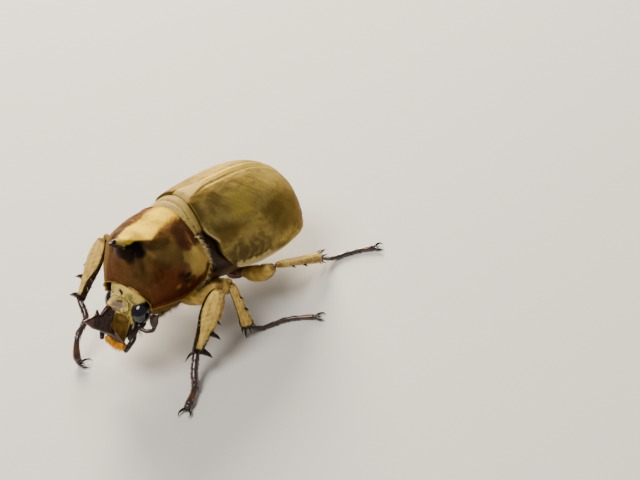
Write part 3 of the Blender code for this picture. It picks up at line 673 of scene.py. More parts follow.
def makeElytron(name, side, material):
    rows, columns, length = elytra["rows"], elytra["columns"], elytra["length"]
    turn = math.pi / 2 * np.linspace(0, 1, columns) ** 0.9
    base = elytraPoint(0.0, turn)
    down = wayAlong(base[::-1])[::-1]
    notchLength, notchHalf = elytra["notch"]
    start = np.maximum(0, 1 - base[:, 0] / notchHalf) * notchLength / length
    start = start + profileAt(elytra["frontEdge"], down)[0] / length
    along = 1 - (1 - np.linspace(0, 1, rows)) ** 1.35
    t = mix(start[None, :], 0.997, along[:, None])
    outer, inner = (elytraPoint(t, turn[None, :], inset) for inset in (0.0, elytra["shell"]))
    for skin in (outer, inner):
        skin[..., 0] = np.maximum(skin[..., 0], elytra["seam"])
    normals = gridNormals(outer)
    normals *= np.sign(normals[rows // 2, columns // 2] @ (1.0, 0.0, 1.0))
    fromSuture, y, upFlank = np.moveaxis(outer, -1, 0)
    fromFront = (t - start[None, :]) * length
    fade = ease(fromFront / 0.5) * ease((1 - t) * length / 0.8)
    rim = ease(1 - upFlank / 0.45)
    groove = near(upFlank, 0.62, 0.35)
    seam = 0.07 * ease(1 - fromSuture / 0.4) - 0.09 * near(fromSuture, 0.75, 0.4)
    callus = stroke(outer, elytra["callus"], 2.0)
    tailBump = stroke(outer, elytra["tailBump"], 2.4)
    wrinkles = ripple(np.stack([y * 3.0, upFlank, fromSuture * 0.5], -1), 2.4, 1) * near(upFlank, 1.3, 1.0)
    frontLip = ease(1 - fromFront / 0.3) * ease((down - 6.8) / 0.8)
    lift = (0.10 * rim - 0.13 * groove + seam * ease(fromFront) + 0.26 * callus + 0.2 * tailBump
            + 0.06 * wrinkles + 0.12 * frontLip
            + 0.035 * ripple(outer, 2.6, 3) + 0.016 * ripple(outer, 0.9, 5))
    outer = outer + normals * (lift * np.minimum(fade + 0.25, 1))[..., None]
    outer[..., 0] = np.maximum(outer[..., 0], elytra["seam"])
    masks = paintElytron(outer, y, upFlank, fromFront, wrinkles, side)
    for skin in (outer, inner):
        hang = profileAt(elytra["belly"], skin[..., 1])[0]
        skin[..., 2] -= hang * ease(1 - skin[..., 2] / 5.0)
    shape = Shape()
    closedShell(shape, outer * (side, 1, 1), inner * (side, 1, 1), masks)
    dress(name, shape, trunkFrame, material)


trunk = {
    "bellyDepth": 5.6,
    "inset": 1.2,
    "rings": {"metathorax": (0.012, 0.4), "abdomen": (0.42, 0.88), "pygidium": (0.9, 0.985)},
    "plates": 0.075,                  # share of the length that each belly plate takes
    "firstPlate": 0.36,               # where along the length they begin
    "midline": ((0, -1, -6), (0, 8, -6)),    # a groove between the legs
    "look": dict(
        base=(0.012, 0.006, 0.004), mottle=(0.028, 0.014, 0.006), sizes=(0.9, 0.2, 0.09, 0.45),
        hairTip=(0.42, 0.27, 0.08), hairRoot=(0.015, 0.008, 0.003), hair=0.3, edge=(0.35, 0.25, 0.15),
        coats=(("velvet", (0.17, 0.10, 0.025), 1.0), ("groove", (0.012, 0.007, 0.005), 0.2)),
        matt=0.55, coat=0.2, relief=(0.8, 0.5, 0.5),
    ),
}


def trunkRings(shares, sides=160):
    shares = shares[:, None]
    turn = around(sides)[None, :]
    up = np.sin(turn)
    deep = trunk["bellyDepth"] * np.sqrt(np.maximum(0.02, 1 - ((shares - 0.25) / 0.8) ** 2))
    x = elytraHalfWidth(shares, trunk["inset"]) * np.cos(turn) * np.where(up >= 0, 1, 1 + 0.35 * up)
    top = elytraCrest(shares, trunk["inset"]) * np.maximum(up, 0) ** elytra["roof"]
    low = -deep * np.maximum(-up, 0) ** 0.8
    y = (elytra["length"] - trunk["inset"]) * shares
    return np.stack(np.broadcast_arrays(x, y, np.where(up >= 0, top, low)), axis=-1)


def makeTrunk(material):
    for name, (start, end) in trunk["rings"].items():
        shares = np.linspace(start, end, int(40 + 160 * (end - start)))
        rings = trunkRings(shares)
        plate = ((shares - 0.30) / trunk["plates"]) % 1.0
        plated = shares > trunk["firstPlate"]
        groove = (ease(1 - np.minimum(plate, 1 - plate) / 0.16) * plated)[:, None]
        below = ease(-rings[..., 2] / 1.2)
        lap = ((1 - plate) * plated)[:, None] * 0.12 * below
        middle = stroke(rings, trunk["midline"], 1.0) if name == "metathorax" else 0.0
        lift = lap - 0.16 * groove * below - 0.25 * middle + 0.03 * ripple(rings, 1.4, 2)
        rings = rings + outward(rings) * lift[..., None]
        velvet = 0.55 * below + 0.5 * (name == "pygidium")
        shape = Shape()
        shape.addRings(rings, velvet=velvet * (1 - groove), groove=groove * below)
        dress(name, shape, trunkFrame, material)


waist = {
    "middle": (0, -2.0, 3.5),
    # lower left corners of its front, its back and the end tucked under the wing cases
    "front": (4.6, -1.5, -1.6),
    "back": (5.0, -0.3, -4.6),
    "tuck": (4.8, 0.7, -4.4),
    "scutellumGap": (0.25, 0.16),     # how much shorter and narrower the scutellum is than its notch
    "look": dict(
        base=(0.40, 0.300, 0.085), mottle=(0.31, 0.215, 0.055), sizes=(0.5, 0.12, 0.06, 0.4),
        hairTip=(0.60, 0.48, 0.20), hairRoot=(0.16, 0.09, 0.03), hair=0.8, silk=0.2, edge=(0.8, 0.62, 0.32),
        coats=(
            ("velvet", (0.43, 0.325, 0.090), 1.0),
            ("dark", (0.13, 0.080, 0.030), 0.5),
            ("shade", (0.010, 0.006, 0.004), 0.5),
        ),
        gloss=0.4, matt=0.6, coat=0.05, relief=(0.7, 0.6, 0.3),
    ),
}


def makeScutellum(material):
    length, half = (space - gap for space, gap in zip(elytra["notch"], waist["scutellumGap"]))
    shares = np.linspace(0, 0.97, 46)
    turn = np.linspace(0, math.pi, 25)
    rings = []
    for s in shares:
        width = half * (1 - s) * (1 + 0.35 * s) + 0.05
        y = 0.05 + length * s
        top = float(elytraCrest(y / elytra["length"])) + 0.04 * math.sin(math.pi * min(s * 1.2, 1))
        top -= 0.4 * max(0.0, 1 - y / 0.9) ** 2         # the front edge rolls down to the waist
        level = top - 0.32 * width * (1 - np.sin(turn) ** 0.7)
        over = np.stack([width * np.cos(turn), np.full(25, y), level], 1)
        under = over[::-1][1:-1] * (0.86, 1, 1) - (0, 0, 0.55)
        rings.append(np.concatenate([over, under]))
    rings = np.array(rings)
    edge = 1 - np.clip((half * (1 - shares)[:, None] + 0.05 - np.abs(rings[..., 0])) / 0.3, 0, 1)
    rings[..., 2] += 0.05 * edge * (rings[..., 2] > 8) + 0.02 * ripple(rings, 0.7, 4)
    shape = Shape()
    shape.addRings(rings, velvet=1 - edge, dark=0.6 * stroke(rings, [(0, 0.0, 9), (0, 0.4, 9)], 0.9))
    dress("scutellum", shape, trunkFrame, material)


# the shield

shield = {
    "rim": ((6.55, -1.6, 1.3), (6.6, -2.6, -0.4), (6.0, -4.1, -1.9),
            (5.2, -6.4, -2.5), (4.6, -8.3, -2.5), (4.0, -10.3, -2.5)),
    "crest": ((0, -2.1, 7.5), (0, -4.0, 7.45), (0, -6.0, 6.95), (0, -7.8, 6.7), (0, -9.4, 6.75),
              (0, -10.3, 6.45), (0, -10.8, 5.5), (0, -11.1, 4.0), (0, -11.3, 2.0), (0, -11.4, 0.3)),
    "sinus": 0.5,                     # how far the hind margin swings forward between crest and rim
    # the crest is drawn out into the root of the horn: where, how far round it, how far out
    "hornRoot": (0, -10.6, 5.9),
    "hornSpread": 2.9,
    "hornPull": (0, -1.5, 0.75),
    "rows": 190,
    "columns": 300,
    "dent": ((6.5, -5.5, 1.4),),
    "hollow": ((2.4, -10.6, 5.0), (3.2, -10.4, 3.0)),    # beside the horn
    "swell": ((6.3, -4.6, 2.6),),
    "wrinkled": ((5.2, -8.8, 2.6), (4.6, -9.6, -0.6)),
    # lines and spots of colour
    "specks": (((0.75, -9.7, 6.9), 0.16, 1.0), ((1.5, -8.6, 6.5), 0.3, 0.75), ((1.9, -8.3, 6.3), 0.2, 0.7)),
    "hornFoot": ((-1.0, -10.6, 5.4), (1.2, -10.6, 5.2), (1.7, -10.0, 5.9), (2.3, -10.1, 5.2)),
    "cheek": ((6.4, -5.7, 0.8), (6.2, -6.7, 1.8)),
    # half width of the gold along the crest, (y, half width)
    "goldHalf": ((-11.5, 1.2), (-10.2, 1.5), (-9.0, 1.8), (-7.5, 2.3), (-5.7, 1.8), (-4.0, 1.9), (-2.0, 2.3)),
    # outlines of the colours, (y, way down from the crest)
    "patch": ((-2.5, 6.6), (-1.0, 6.9), (-1.2, 9.4), (-2.3, 10.0), (-2.7, 10.9), (-4.0, 11.0), (-5.0, 9.8),
              (-5.4, 8.5), (-6.0, 7.3), (-5.6, 6.5), (-4.2, 6.9)),
    "olive": ((-10.4, 1.6), (-8.0, 2.0), (-6.0, 2.4), (-5.2, 4.0), (-5.6, 6.6), (-7.2, 7.4), (-9.0, 6.2),
              (-10.8, 4.2)),
    "wood": ((-4.4, 3.0), (-1.5, 2.9), (-1.0, 6.8), (-2.5, 6.5), (-4.4, 6.8), (-5.6, 5.8), (-5.4, 4.2)),
    "red": ((-11.4, 2.6), (-9.8, 5.4), (-7.9, 7.6), (-6.4, 8.4), (-5.4, 10.4), (-4.0, 11.2), (-2.6, 11.0),
            (-2.6, 14), (-11.4, 14)),
    "look": dict(
        base=(0.104, 0.051, 0.021), mottle=(0.074, 0.034, 0.014), sizes=(1.2, 0.14, 0.07, 0.34),
        hairTip=(0.40, 0.28, 0.04), hairRoot=(0.05, 0.022, 0.004), hair=0.6, tips=0.22, roots=0.3,
        ragged=0.4, soft=0.5, silk=0.7, specular=0.12, edge=(0.45, 0.28, 0.09),
        coats=(
            ("olive", (0.160, 0.097, 0.031), 0.8),
            ("red", (0.074, 0.021, 0.007), 0.3),
            # reddish-brown tone, and also the painted shade of the front collar
            ("wood", (0.085, 0.036, 0.018), 0.3),
            # painted shade just below the crest
            ("umber", (0.050, 0.029, 0.011), 0.5),
            ("black", (0.007, 0.005, 0.004), 0.1),
            ("patch", (0.32, 0.222, 0.066), 1.0),
            ("gold", (0.37, 0.268, 0.025), 1.0),
            ("pale", (0.50, 0.34, 0.05), 0.8),
        ),
        matt=0.42, coat=0.02, relief=(0.9, 0.4, 0.3),
    ),
}


def shieldPoint(u, v):
    # u 0 at the hind margin to 1 at the front margin, v -1 at the right rim to 1 at the left
    rim = curveAt(shield["rim"], u)
    crest = curveAt(shield["crest"], u)
    turn = np.abs(v) * math.pi / 2
    peak = np.where(u < 0.4, mix(1.0, 0.72, ease(u / 0.3)), mix(0.72, 1.1, ease((u - 0.4) / 0.3)))
    bulge = 1.1 * ease(u / 0.4) * (1 - 0.6 * ease((u - 0.75) / 0.25))
    rise = np.maximum(np.cos(turn), 0) ** peak
    x = rim[..., 0] * np.sin(turn) + bulge * 3.0 * np.sin(turn) ** 3 * np.cos(turn)
    y = mix(rim[..., 1], crest[..., 1], rise) - shield["sinus"] * np.sin(2 * turn) ** 2 * ease(1 - u / 0.3)
    z = mix(rim[..., 2], crest[..., 2], rise)
    return np.stack([np.copysign(x, v), y, z], axis=-1)


def paintShield(grid, folds, fromLeft, bead, frontBead, dent, pull):
    # y and s unroll the skin, along it and down from the crest, with wavy edges to what is painted
    columns = grid.shape[1]
    y = grid[..., 1] + 0.15 * ripple(grid, 1.6, 4)
    s = np.abs(fromLeft - fromLeft[:, columns // 2:columns // 2 + 1]) + 0.15 * ripple(grid, 1.4, 7)
    half = profileAt(shield["goldHalf"], y)[0]
    gold = 1.1 * ease(0.5 + (half - s) / mix(0.45, 1.7, ease((y + 7) / 3))) * ease((grid[..., 2] - 5.7) / 0.7)
    specks = sum(strength * onSkin(grid, [spot], radius) for spot, radius, strength in shield["specks"])
    gold = gold * (1 - 0.8 * specks) * (1 - 0.38 * ease((y + 5.2) / 2.4))
    patch = (0.65 * region(y, s, shield["patch"], 0.35) + 0.35 * region(y, s, shield["patch"], 1.6)
             + 0.5 * stroke(folds, [(5.9, -7.0, 0.1)], 0.8) + 0.45 * stroke(folds, [(6.15, -5.2, -0.4)], 0.7))
    stripes = ease((-2.9 - grid[..., 0]) / 0.9) * ease((-7.8 - grid[..., 1]) / 1.2)
    stripes = stripes * (1 - 0.8 * stroke(grid, [(-2.75, -10.6, 3.4), (-2.9, -10.9, -0.4)], 0.35))
    below = s - half
    # painted shade: a darker band just below the crest's gold, where the flank falls away steeply
    umber = ease((below + 0.1) / 0.6) * ease((3.2 - below) / 1.6)
    umber = umber * ease((-5.0 - y) / 1.4) * ease((y + 10.8) / 0.6)
    speckle = ease((ripple(grid, 0.42, 9) - 0.62) / 0.12) * near(below, 0.5, 1.3) * ease((-6.5 - y) / 1.0)
    cheek = stroke(folds, shield["cheek"], 1.3)
    black = (
        1.25 * stroke(grid, shield["hornFoot"], 1.2) + 1.3 * dent + stroke(grid, [(1.2, -10.8, 4.2)], 1.4)
        + 1.4 * ease((pull - 0.12) / 0.16) + 0.9 * speckle
        + 0.45 * stroke(folds, [(1.3, -10.1, 6.1), (2.3, -8.4, 6.1)], 0.6)
        + (0.75 + 0.4 * ripple(grid, 0.5, 33)) * cheek)
    return {
        "gold": gold, "umber": 0.85 * umber, "black": black,
        "olive": region(y, s, shield["olive"], 1.9) + 0.9 * stripes,
        "red": 1.1 * region(y, s, shield["red"], 1.5),
        "wood": 1.1 * region(y, s, shield["wood"], 0.6),
        "patch": patch + 0.5 * stripes,
        "pale": 0.9 * bead + 0.6 * frontBead,
    }


def makeShield(material):
    rows, columns = shield["rows"], shield["columns"]
    u, v = np.meshgrid(np.linspace(0, 1, rows), np.linspace(1, -1, columns), indexing="ij")
    grid = shieldPoint(u, v)
    reach = np.linalg.norm(grid - shield["hornRoot"], axis=-1)
    pull = np.maximum(0, 1 - reach / shield["hornSpread"]) ** 1.6
    grid = grid + pull[..., None] * shield["hornPull"]
    normals = gridNormals(grid)
    normals *= np.sign(normals[rows // 3, columns // 2][2])
    folds = folded(grid)
    fromHind, fromLeft = wayAlong(grid), wayAlong(grid, axis=1)
    fromFront = fromHind[-1] - fromHind
    fromSide = np.minimum(fromLeft, fromLeft[:, -1:] - fromLeft)
    beside = ease(np.abs(grid[..., 0]) / 1.6)           # the front bead fades out below the horn
    frontBead = ease(1 - fromFront / 0.2) * beside
    dent = stroke(folds, shield["dent"], 0.55)
    hollow = stroke(folds, shield["hollow"], 1.9)
    swell = stroke(folds, shield["swell"], 2.6)
    ridges = np.sin(grid[..., 1] * 9 + 0.8 * grid[..., 2]) * stroke(folds, shield["wrinkled"], 1.8)
    lift = (0.16 * ease(1 - fromSide / 0.34) - 0.12 * near(fromSide, 0.5, 0.3)
            + 0.12 * frontBead - 0.1 * near(fromFront, 0.34, 0.22) * beside + 0.08 * ease(1 - fromHind / 0.3)
            - 0.22 * dent - 0.22 * hollow + 0.12 * swell + 0.03 * ridges
            + 0.05 * ripple(grid, 3.0, 6) + 0.018 * ripple(grid, 0.9, 2))
    grid = grid + normals * lift[..., None]
    masks = paintShield(grid, folds, fromLeft, ease(1 - fromSide / 0.2), frontBead, dent, pull)
    # the underside is drawn in between the two rims, and the hind end is hollow behind its lip
    span = np.linspace(0, 1, 32)[1:-1]
    floor = grid[:, -1:, :] * (1 - span)[None, :, None] + grid[:, :1, :] * span[None, :, None]
    floor[..., 2] += 0.9 * np.sin(math.pi * span)[None, :]
    rings = np.concatenate([grid, floor], axis=1)
    middle, neck = rings[0].mean(axis=0), rings[-1].mean(axis=0)
    lips = [middle + (rings[0] - middle) * size + (0, -deep, 0)
            for size, deep in ((0.86, 1.3), (0.9, 0.5), (0.955, 0.06))]
    collar = [neck + (rings[-1] - neck) * size + (0, deep, 0)
              for size, deep in ((0.955, 0.05), (0.9, 0.6), (0.8, 1.6))]
    rings = np.concatenate([lips, rings, collar])
    for name, mask in masks.items():
        mask = np.concatenate([mask, np.zeros((rows, len(span)))], axis=1)
        masks[name] = np.concatenate([mask[:3] * 0, mask, mask[-1:], mask[:2] * 0])
    # the hollow behind the hind lip is painted black as shade
    masks["black"][:2] = 1.0
    # the collar tucked under the front margin is painted dark brown as shade in the gap
    masks["wood"][-2:] = 1.4
    shape = Shape()
    shape.addRings(rings, **masks)
    dress("pronotum", shape, foreFrame, material)


def makeWaist(material):
    # the ring between shield and wing cases; its pale top shows as the shield bends down
    place = np.array(trunkFrame.inverted() @ foreFrame)
    middle = np.array(waist["middle"])
    front = shieldPoint(np.zeros(101), np.linspace(1, -1, 101))
    front = np.concatenate([front, mirrored([waist["front"]]), [waist["front"]]])
    front = middle + (front - middle) * 0.93 + (0, -0.35, 0)
    front = front @ place[:3, :3].T + place[:3, 3]
    back, tuck = (elytraPoint(np.zeros(101), np.linspace(0, math.pi, 101), inset) for inset in (0.45, 1.15))
    back[:, 1] = -0.15
    tuck[:, 1] += 0.7
    back = np.concatenate([back, mirrored([waist["back"]]), [waist["back"]]])
    tuck = np.concatenate([tuck, mirrored([waist["tuck"]]), [waist["tuck"]]])
    rings = [mix(front, back, s) for s in np.linspace(0, 1, 24)]
    rings = np.array(rings + [mix(back, tuck, s) for s in (0.25, 0.7, 1.0)])
    share = np.concatenate([np.linspace(0, 1, 24), (1, 1, 1)])[:, None]
    rings[:, :101, 2] += 0.10 * np.sin(math.pi * share) - 0.1 * near(share, 0.6, 0.14)
    height = rings[..., 2]
    marks = ease((ripple(rings, 1.1, 3) - 0.62) / 0.15)
    marks = marks * ease((height - 5) / 0.5) * ease((8.2 - height) / 0.6)
    broken = 0.62 + 0.5 * ripple(rings, 1.8, 9)
    shape = Shape()
    shape.addRings(rings, dark=broken * near(share, 0.6, 0.07) + 0.8 * marks, velvet=0.3,
                   shade=1.2 * ease((6.2 - height) / 1.4))
    dress("mesothorax", shape, trunkFrame, material)


shieldHorn = {
    # from the crest to the tip: y, level of the top, level of the underside, half width
    "stations": ((-9.4, 6.3, 4.8, 0.8), (-10.6, 6.75, 5.2, 0.95), (-11.4, 6.98, 5.75, 0.88),
                 (-12.1, 7.2, 6.35, 0.66), (-12.8, 7.42, 6.9, 0.4), (-13.15, 7.46, 7.15, 0.2)),
    "blackFrom": -12.75,              # the tip is black from here on
    "look": dict(
        base=(0.008, 0.005, 0.005), mottle=(0.020, 0.010, 0.008), sizes=(0.6, 0.14, 0.07, 0.3),
        hairTip=(0.70, 0.48, 0.10), hairRoot=(0.05, 0.02, 0.004), hair=0.1, tips=0.35, roots=0.4,
        silk=0.6, edge=(0.7, 0.55, 0.4),
        coats=(("grey", (0.030, 0.022, 0.024), 0.1), ("gold", (0.36, 0.255, 0.045), 1.0)),
        gloss=0.18, matt=0.45, coat=0.4, relief=(0.9, 0.4, 0.3),
    ),
}


def makeShieldHorn(material):
    shares = np.linspace(0, 1, 90)
    y, top, under, half = curveAt(shieldHorn["stations"], shares).T
    turn = around(96)
    up = np.broadcast_to(np.sin(turn), (90, 96))
    middle = np.stack([y * 0, y, mix(top, under, 0.5)], axis=1)[:, None, :]
    over = np.stack([half[:, None] * np.cos(turn), up * 0, (top - under)[:, None] / 2 * up], axis=-1)
    rings = middle + over * roundEnds(shares, 0, 0.03)[:, None, None]
    rings[..., 1] += 0.35 * up                          # the rings lean forward under the horn
    keel = ease(1 - np.abs(over[..., 0]) / 0.25) * (up < 0)
    rings[..., 2] -= 0.05 * keel * ease(shares / 0.4)[:, None]
    rings += over * (0.02 * ripple(rings, 1.2, 3))[..., None]
    edge = up + 0.1 * ripple(rings, 0.6, 12)
    gold = 1.2 * ease((edge + 0.25) / 0.4) * ease((y - shieldHorn["blackFrom"]) / 0.3)[:, None]
    shape = Shape()
    shape.addRings(rings, gold=gold, grey=ease((-12.7 - y) / 0.3)[:, None])
    dress("pronotal_horn", shape, foreFrame, material)


# head

headParts = {
    # brow (y, z), throat (y, z), half width, from the shield to the face plate
    "stations": ((-10.9, 0.6, -9.5, -2.9, 3.2), (-11.35, 0.0, -9.8, -3.4, 2.75),
                 (-11.7, -0.5, -10.1, -3.9, 2.1), (-11.95, -1.0, -10.1, -5.2, 1.95),
                 (-12.27, -1.55, -10.45, -6.0, 2.2), (-12.55, -2.2, -10.85, -6.5, 2.45),
                 (-12.75, -2.75, -11.2, -6.7, 2.35)),
    "fork": ((0.0, -12.0, -1.35), (0.5, -12.0, -1.15), (1.1, -12.0, -1.35),
             (1.7, -12.0, -1.75), (2.0, -12.05, -2.35), (1.75, -12.2, -2.75), (1.2, -12.2, -2.9)),
    "pit": ((0.0, -11.4, -0.75), (0.3, -11.55, -0.85)),
    "hollow": ((-0.1, -12.7, -2.4), (0.6, -12.5, -2.3)),
    "dent": ((0.2, -12.3, -1.75), (0.75, -12.3, -1.7)),
    "rim": ((1.6, -11.6, -1.3), (2.2, -11.6, -1.9), (2.45, -11.7, -2.8), (2.5, -11.7, -3.6)),
    "jowl": ((2.6, -11.4, -4.7), (2.4, -11.6, -5.4)),
    # where painted shade lies behind the brow ridges
    "ridgeShade": ((1.5, -11.4, -1.0), (2.2, -11.7, -2.0)),
    # the bases of the jaws, shining below the eyes: (point, radius)
    "jaw": (((2.3, -11.3, -4.7), 0.5), ((2.55, -11.8, -5.4), 0.62), ((2.5, -12.2, -6.1), 0.5),
            ((2.3, -12.5, -6.8), 0.3)),
    "cheek": (((2.9, -10.2, -4.4), 0.3), ((3.1, -10.7, -4.75), 0.42), ((2.9, -11.2, -5.0), 0.45),
              ((2.4, -11.4, -5.5), 0.3)),
    "look": dict(
        base=(0.34, 0.235, 0.040), mottle=(0.24, 0.155, 0.022), sizes=(0.5, 0.12, 0.06, 0.3),
        hairTip=(0.75, 0.58, 0.20), hairRoot=(0.11, 0.06, 0.012), hair=0.6, tips=0.3, roots=0.4,
        ragged=0.9, soft=0.42, silk=0.35,
        coats=(
            ("gold", (0.74, 0.56, 0.12), 0.9),
            ("olive", (0.24, 0.185, 0.055), 0.7),
            ("grey", (0.28, 0.215, 0.150), 0.4),
            ("dark", (0.014, 0.008, 0.006), 0.0),
            ("pale", (0.92, 0.74, 0.27), 0.6),
        ),
        matt=0.45, coat=0.2, relief=(0.8, 0.6, 0.3),
    ),
}


def placed(stations, side, shift=(0, 0, 0)):
    # (point, radius) stations laid out on one side of the head
    return [(np.array(p) * (side, 1, 1) + shift, radius) for p, radius in stations]


def makeHead(material):
    shares = np.linspace(0, 1, 110)
    stations = np.array(headParts["stations"])
    edges = stations[:, :2], stations[:, 2:4], stations[:, 4]
    brow, throat, half = (curveAt(edge, shares) for edge in edges)
    turn = around(200)
    c, s = np.cos(turn), np.sin(turn)
    rings = np.empty((110, 200, 3))
    rings[..., 0] = half[:, None] * np.sign(c) * np.abs(c) ** 0.85
    rings[..., 1:] = mix(throat[:, None, :], brow[:, None, :], (0.5 + 0.5 * s)[None, :, None])
    fork, pit, hollow, dent, rim = (headParts[line] for line in ("fork", "pit", "hollow", "dent", "rim"))
    otherFork = mirrored(fork)
    rings = sculpt(rings, (
        (fork, 0.27, 0.22), (otherFork, 0.27, 0.2), (hollow, 0.8, -0.26), (dent, 0.45, -0.16),
        (pit, 0.6, -0.22), (fork[-1:], 0.4, 0.12), (rim, 0.4, 0.14), (mirrored(rim), 0.4, 0.14),
        (headParts["jowl"], 0.7, 0.16),
    ))
    rings += (rings - rings.mean(axis=1, keepdims=True)) * (0.008 * ripple(rings, 0.7, 3))[..., None]
    folds = folded(rings)
    below = ease((-4.1 - rings[..., 2]) / 0.7)
    ridgeShade = stroke(folds, headParts["ridgeShade"], 1.0)
    shape = Shape()
    shape.addRings(
        rings,
        gold=0.9 * (1 - below) * (1 - onSkin(rings, hollow, 0.9)),
        # the olive is partly the head's own mottling, partly painted shade behind the brow ridges and round
        # the raised fork lines
        olive=(0.95 * ridgeShade + 0.35 * ripple(rings, 0.7, 8)
               + 0.9 * (onSkin(rings, fork, 0.5) + onSkin(rings, otherFork, 0.5))),
        grey=onSkin(rings, hollow, 1.25, 0.7),
        dark=onSkin(rings, pit, 0.62) + 0.72 * onSkin(rings, dent, 0.42) + below,
        pale=(0.9 * onSkin(rings, fork, 0.2) + 0.9 * onSkin(rings, otherFork, 0.2)
              + 1.2 * onSkin(rings, fork[-1:], 0.34) + 0.7 * stroke(folds, snapped(rings, rim), 0.16)),
    )
    for side in (-1, 1):
        shape.tube(placed(headParts["jaw"], side), dark=1.2)
        shape.tube(placed(headParts["cheek"], side), dark=1.0)
    dress("head", shape, headFrame, material)


eyes = {
    "centre": (2.55, -10.45, -3.3),
    "radii": (1.3, 1.42, 1.62),
    "lean": -18.0,
    "bar": ((-0.6, -0.9, -0.25), (0.1, -1.0, -0.35)),    # a bar of the brow runs into the eye's front edge
    "look": dict(
        base=(0.005, 0.006, 0.011), mottle=(0.010, 0.010, 0.018), sizes=(0.6, 0.1, 0.08, 0.085),
        hairTip=(0.02, 0.02, 0.03), hairRoot=(0.004, 0.004, 0.006), silk=0.0, specular=0.35,
        coats=(("rim", (0.16, 0.10, 0.03), 0.7),),
        gloss=0.09, coat=0.6, relief=(0.2, 0.02, 0.03),
    ),
}


def makeEyes(material):
    lean = np.array(Matrix.Rotation(math.radians(eyes["lean"]), 3, "X"))
    ball = ballRings(80, 120, 0.02)
    rim = near(ball[..., 0], -0.62, 0.1)
    bar = stroke(ball, eyes["bar"], 0.16)
    rings = eyes["centre"] + (ball * eyes["radii"] * (1 + 0.03 * rim + 0.05 * bar)[..., None]) @ lean.T
    for side, name in ((1, "eye_left"), (-1, "eye_right")):
        shape = Shape()
        shape.addRings(rings * (side, 1, 1), rim=rim * 0.9 + bar)
        dress(name, shape, headFrame, material)


facePlate = {
    "rear": ((0, -12.95, -2.6), (0.9, -12.78, -2.72), (2.15, -12.25, -3.2),
             (2.3, -11.75, -4.8), (1.3, -11.35, -6.5), (0, -11.35, -6.9)),
    "middle": ((0, -13.55, -3.45), (0.7, -13.25, -3.7), (2.1, -12.6, -4.6),
               (2.2, -12.3, -5.7), (1.3, -12.15, -7.0), (0, -12.15, -7.2)),
    "front": ((0, -14.2, -4.3), (0.4, -14.1, -4.45), (2.0, -13.35, -6.6),
              (2.0, -13.25, -7.05), (1.3, -13.1, -7.3), (0, -13.2, -7.35)),
    # the raised edge round each hollow side, from the horn past the eye to the mouth
    "edge": ((0.35, -14.15, -4.2), (0.4, -13.3, -3.6), (0.7, -12.9, -3.0), (1.3, -12.6, -2.9),
             (2.0, -12.2, -3.1), (2.2, -12.2, -3.8), (2.1, -12.5, -4.8), (2.0, -12.9, -6.0),
             (1.95, -13.3, -7.05)),
    "hollow": ((1.3, -12.9, -4.2), (1.3, -13.2, -5.2)),
    "lip": ((-1.9, -13.3, -7.0), (0, -13.3, -7.3), (1.9, -13.3, -7.0)),
    "greySpot": ((0.0, -13.0, -2.7), (0.4, -12.9, -2.8)),
    "look": dict(
        base=(0.145, 0.084, 0.012), mottle=(0.090, 0.048, 0.008), sizes=(0.6, 0.12, 0.06, 0.26),
        hairTip=(0.60, 0.45, 0.13), hairRoot=(0.04, 0.016, 0.006), hair=0.35, tips=0.3, roots=0.4,
        silk=0.45, edge=(0.7, 0.5, 0.25),
        coats=(
            ("brown", (0.070, 0.030, 0.006), 0.1),
            ("dark", (0.014, 0.007, 0.006), 0.5),
            ("grey", (0.26, 0.20, 0.15), 0.4),
            ("pale", (0.74, 0.56, 0.14), 0.6),
        ),
        gloss=0.24, coat=0.3, relief=(0.6, 0.5, 0.3),
    ),
}


def makeFacePlate(material):
    rings = []
    for key in ("rear", "middle", "front"):
        half = np.array(facePlate[key], float)
        ring = np.concatenate([half, half[-2:0:-1] * (-1, 1, 1)])
        loop = np.concatenate([ring[-2:], ring, ring[:2]])
        marks = wayAlong(loop)
        # the closing side runs on to the first point again
        rings.append(curveThrough(marks, loop, np.linspace(marks[2], marks[-2], 220, endpoint=False)))
    skin = curveThrough((0.0, 0.5, 1.0), rings, np.linspace(0, 1, 110))
    edge, hollow = facePlate["edge"], facePlate["hollow"]
    skin = sculpt(skin, (
        (edge, 0.24, 0.13), (mirrored(edge), 0.24, 0.13),
        (hollow, 0.95, -0.2), (mirrored(hollow), 0.95, -0.2), (facePlate["lip"], 0.3, 0.1),
    ))
    skin = np.concatenate([skin, skin[-1:] * 0.94 + skin[-1:].mean(axis=1, keepdims=True) * 0.06])
    z = skin[..., 2]
    front = np.zeros(z.shape)
    front[-1] = 1.3
    shape = Shape()
    shape.addRings(
        skin,
        brown=0.8 * ease((-4.3 - z) / 1.7) + 0.15 * ripple(skin, 0.9, 3),
        dark=ease((-6.3 - z) / 0.7) + front,
        pale=0.85 * onSkin(skin, edge, 0.17) + 0.85 * onSkin(skin, mirrored(edge), 0.17),
        grey=0.9 * onSkin(skin, facePlate["greySpot"], 0.55),
    )
    dress("clypeus", shape, headFrame, material)


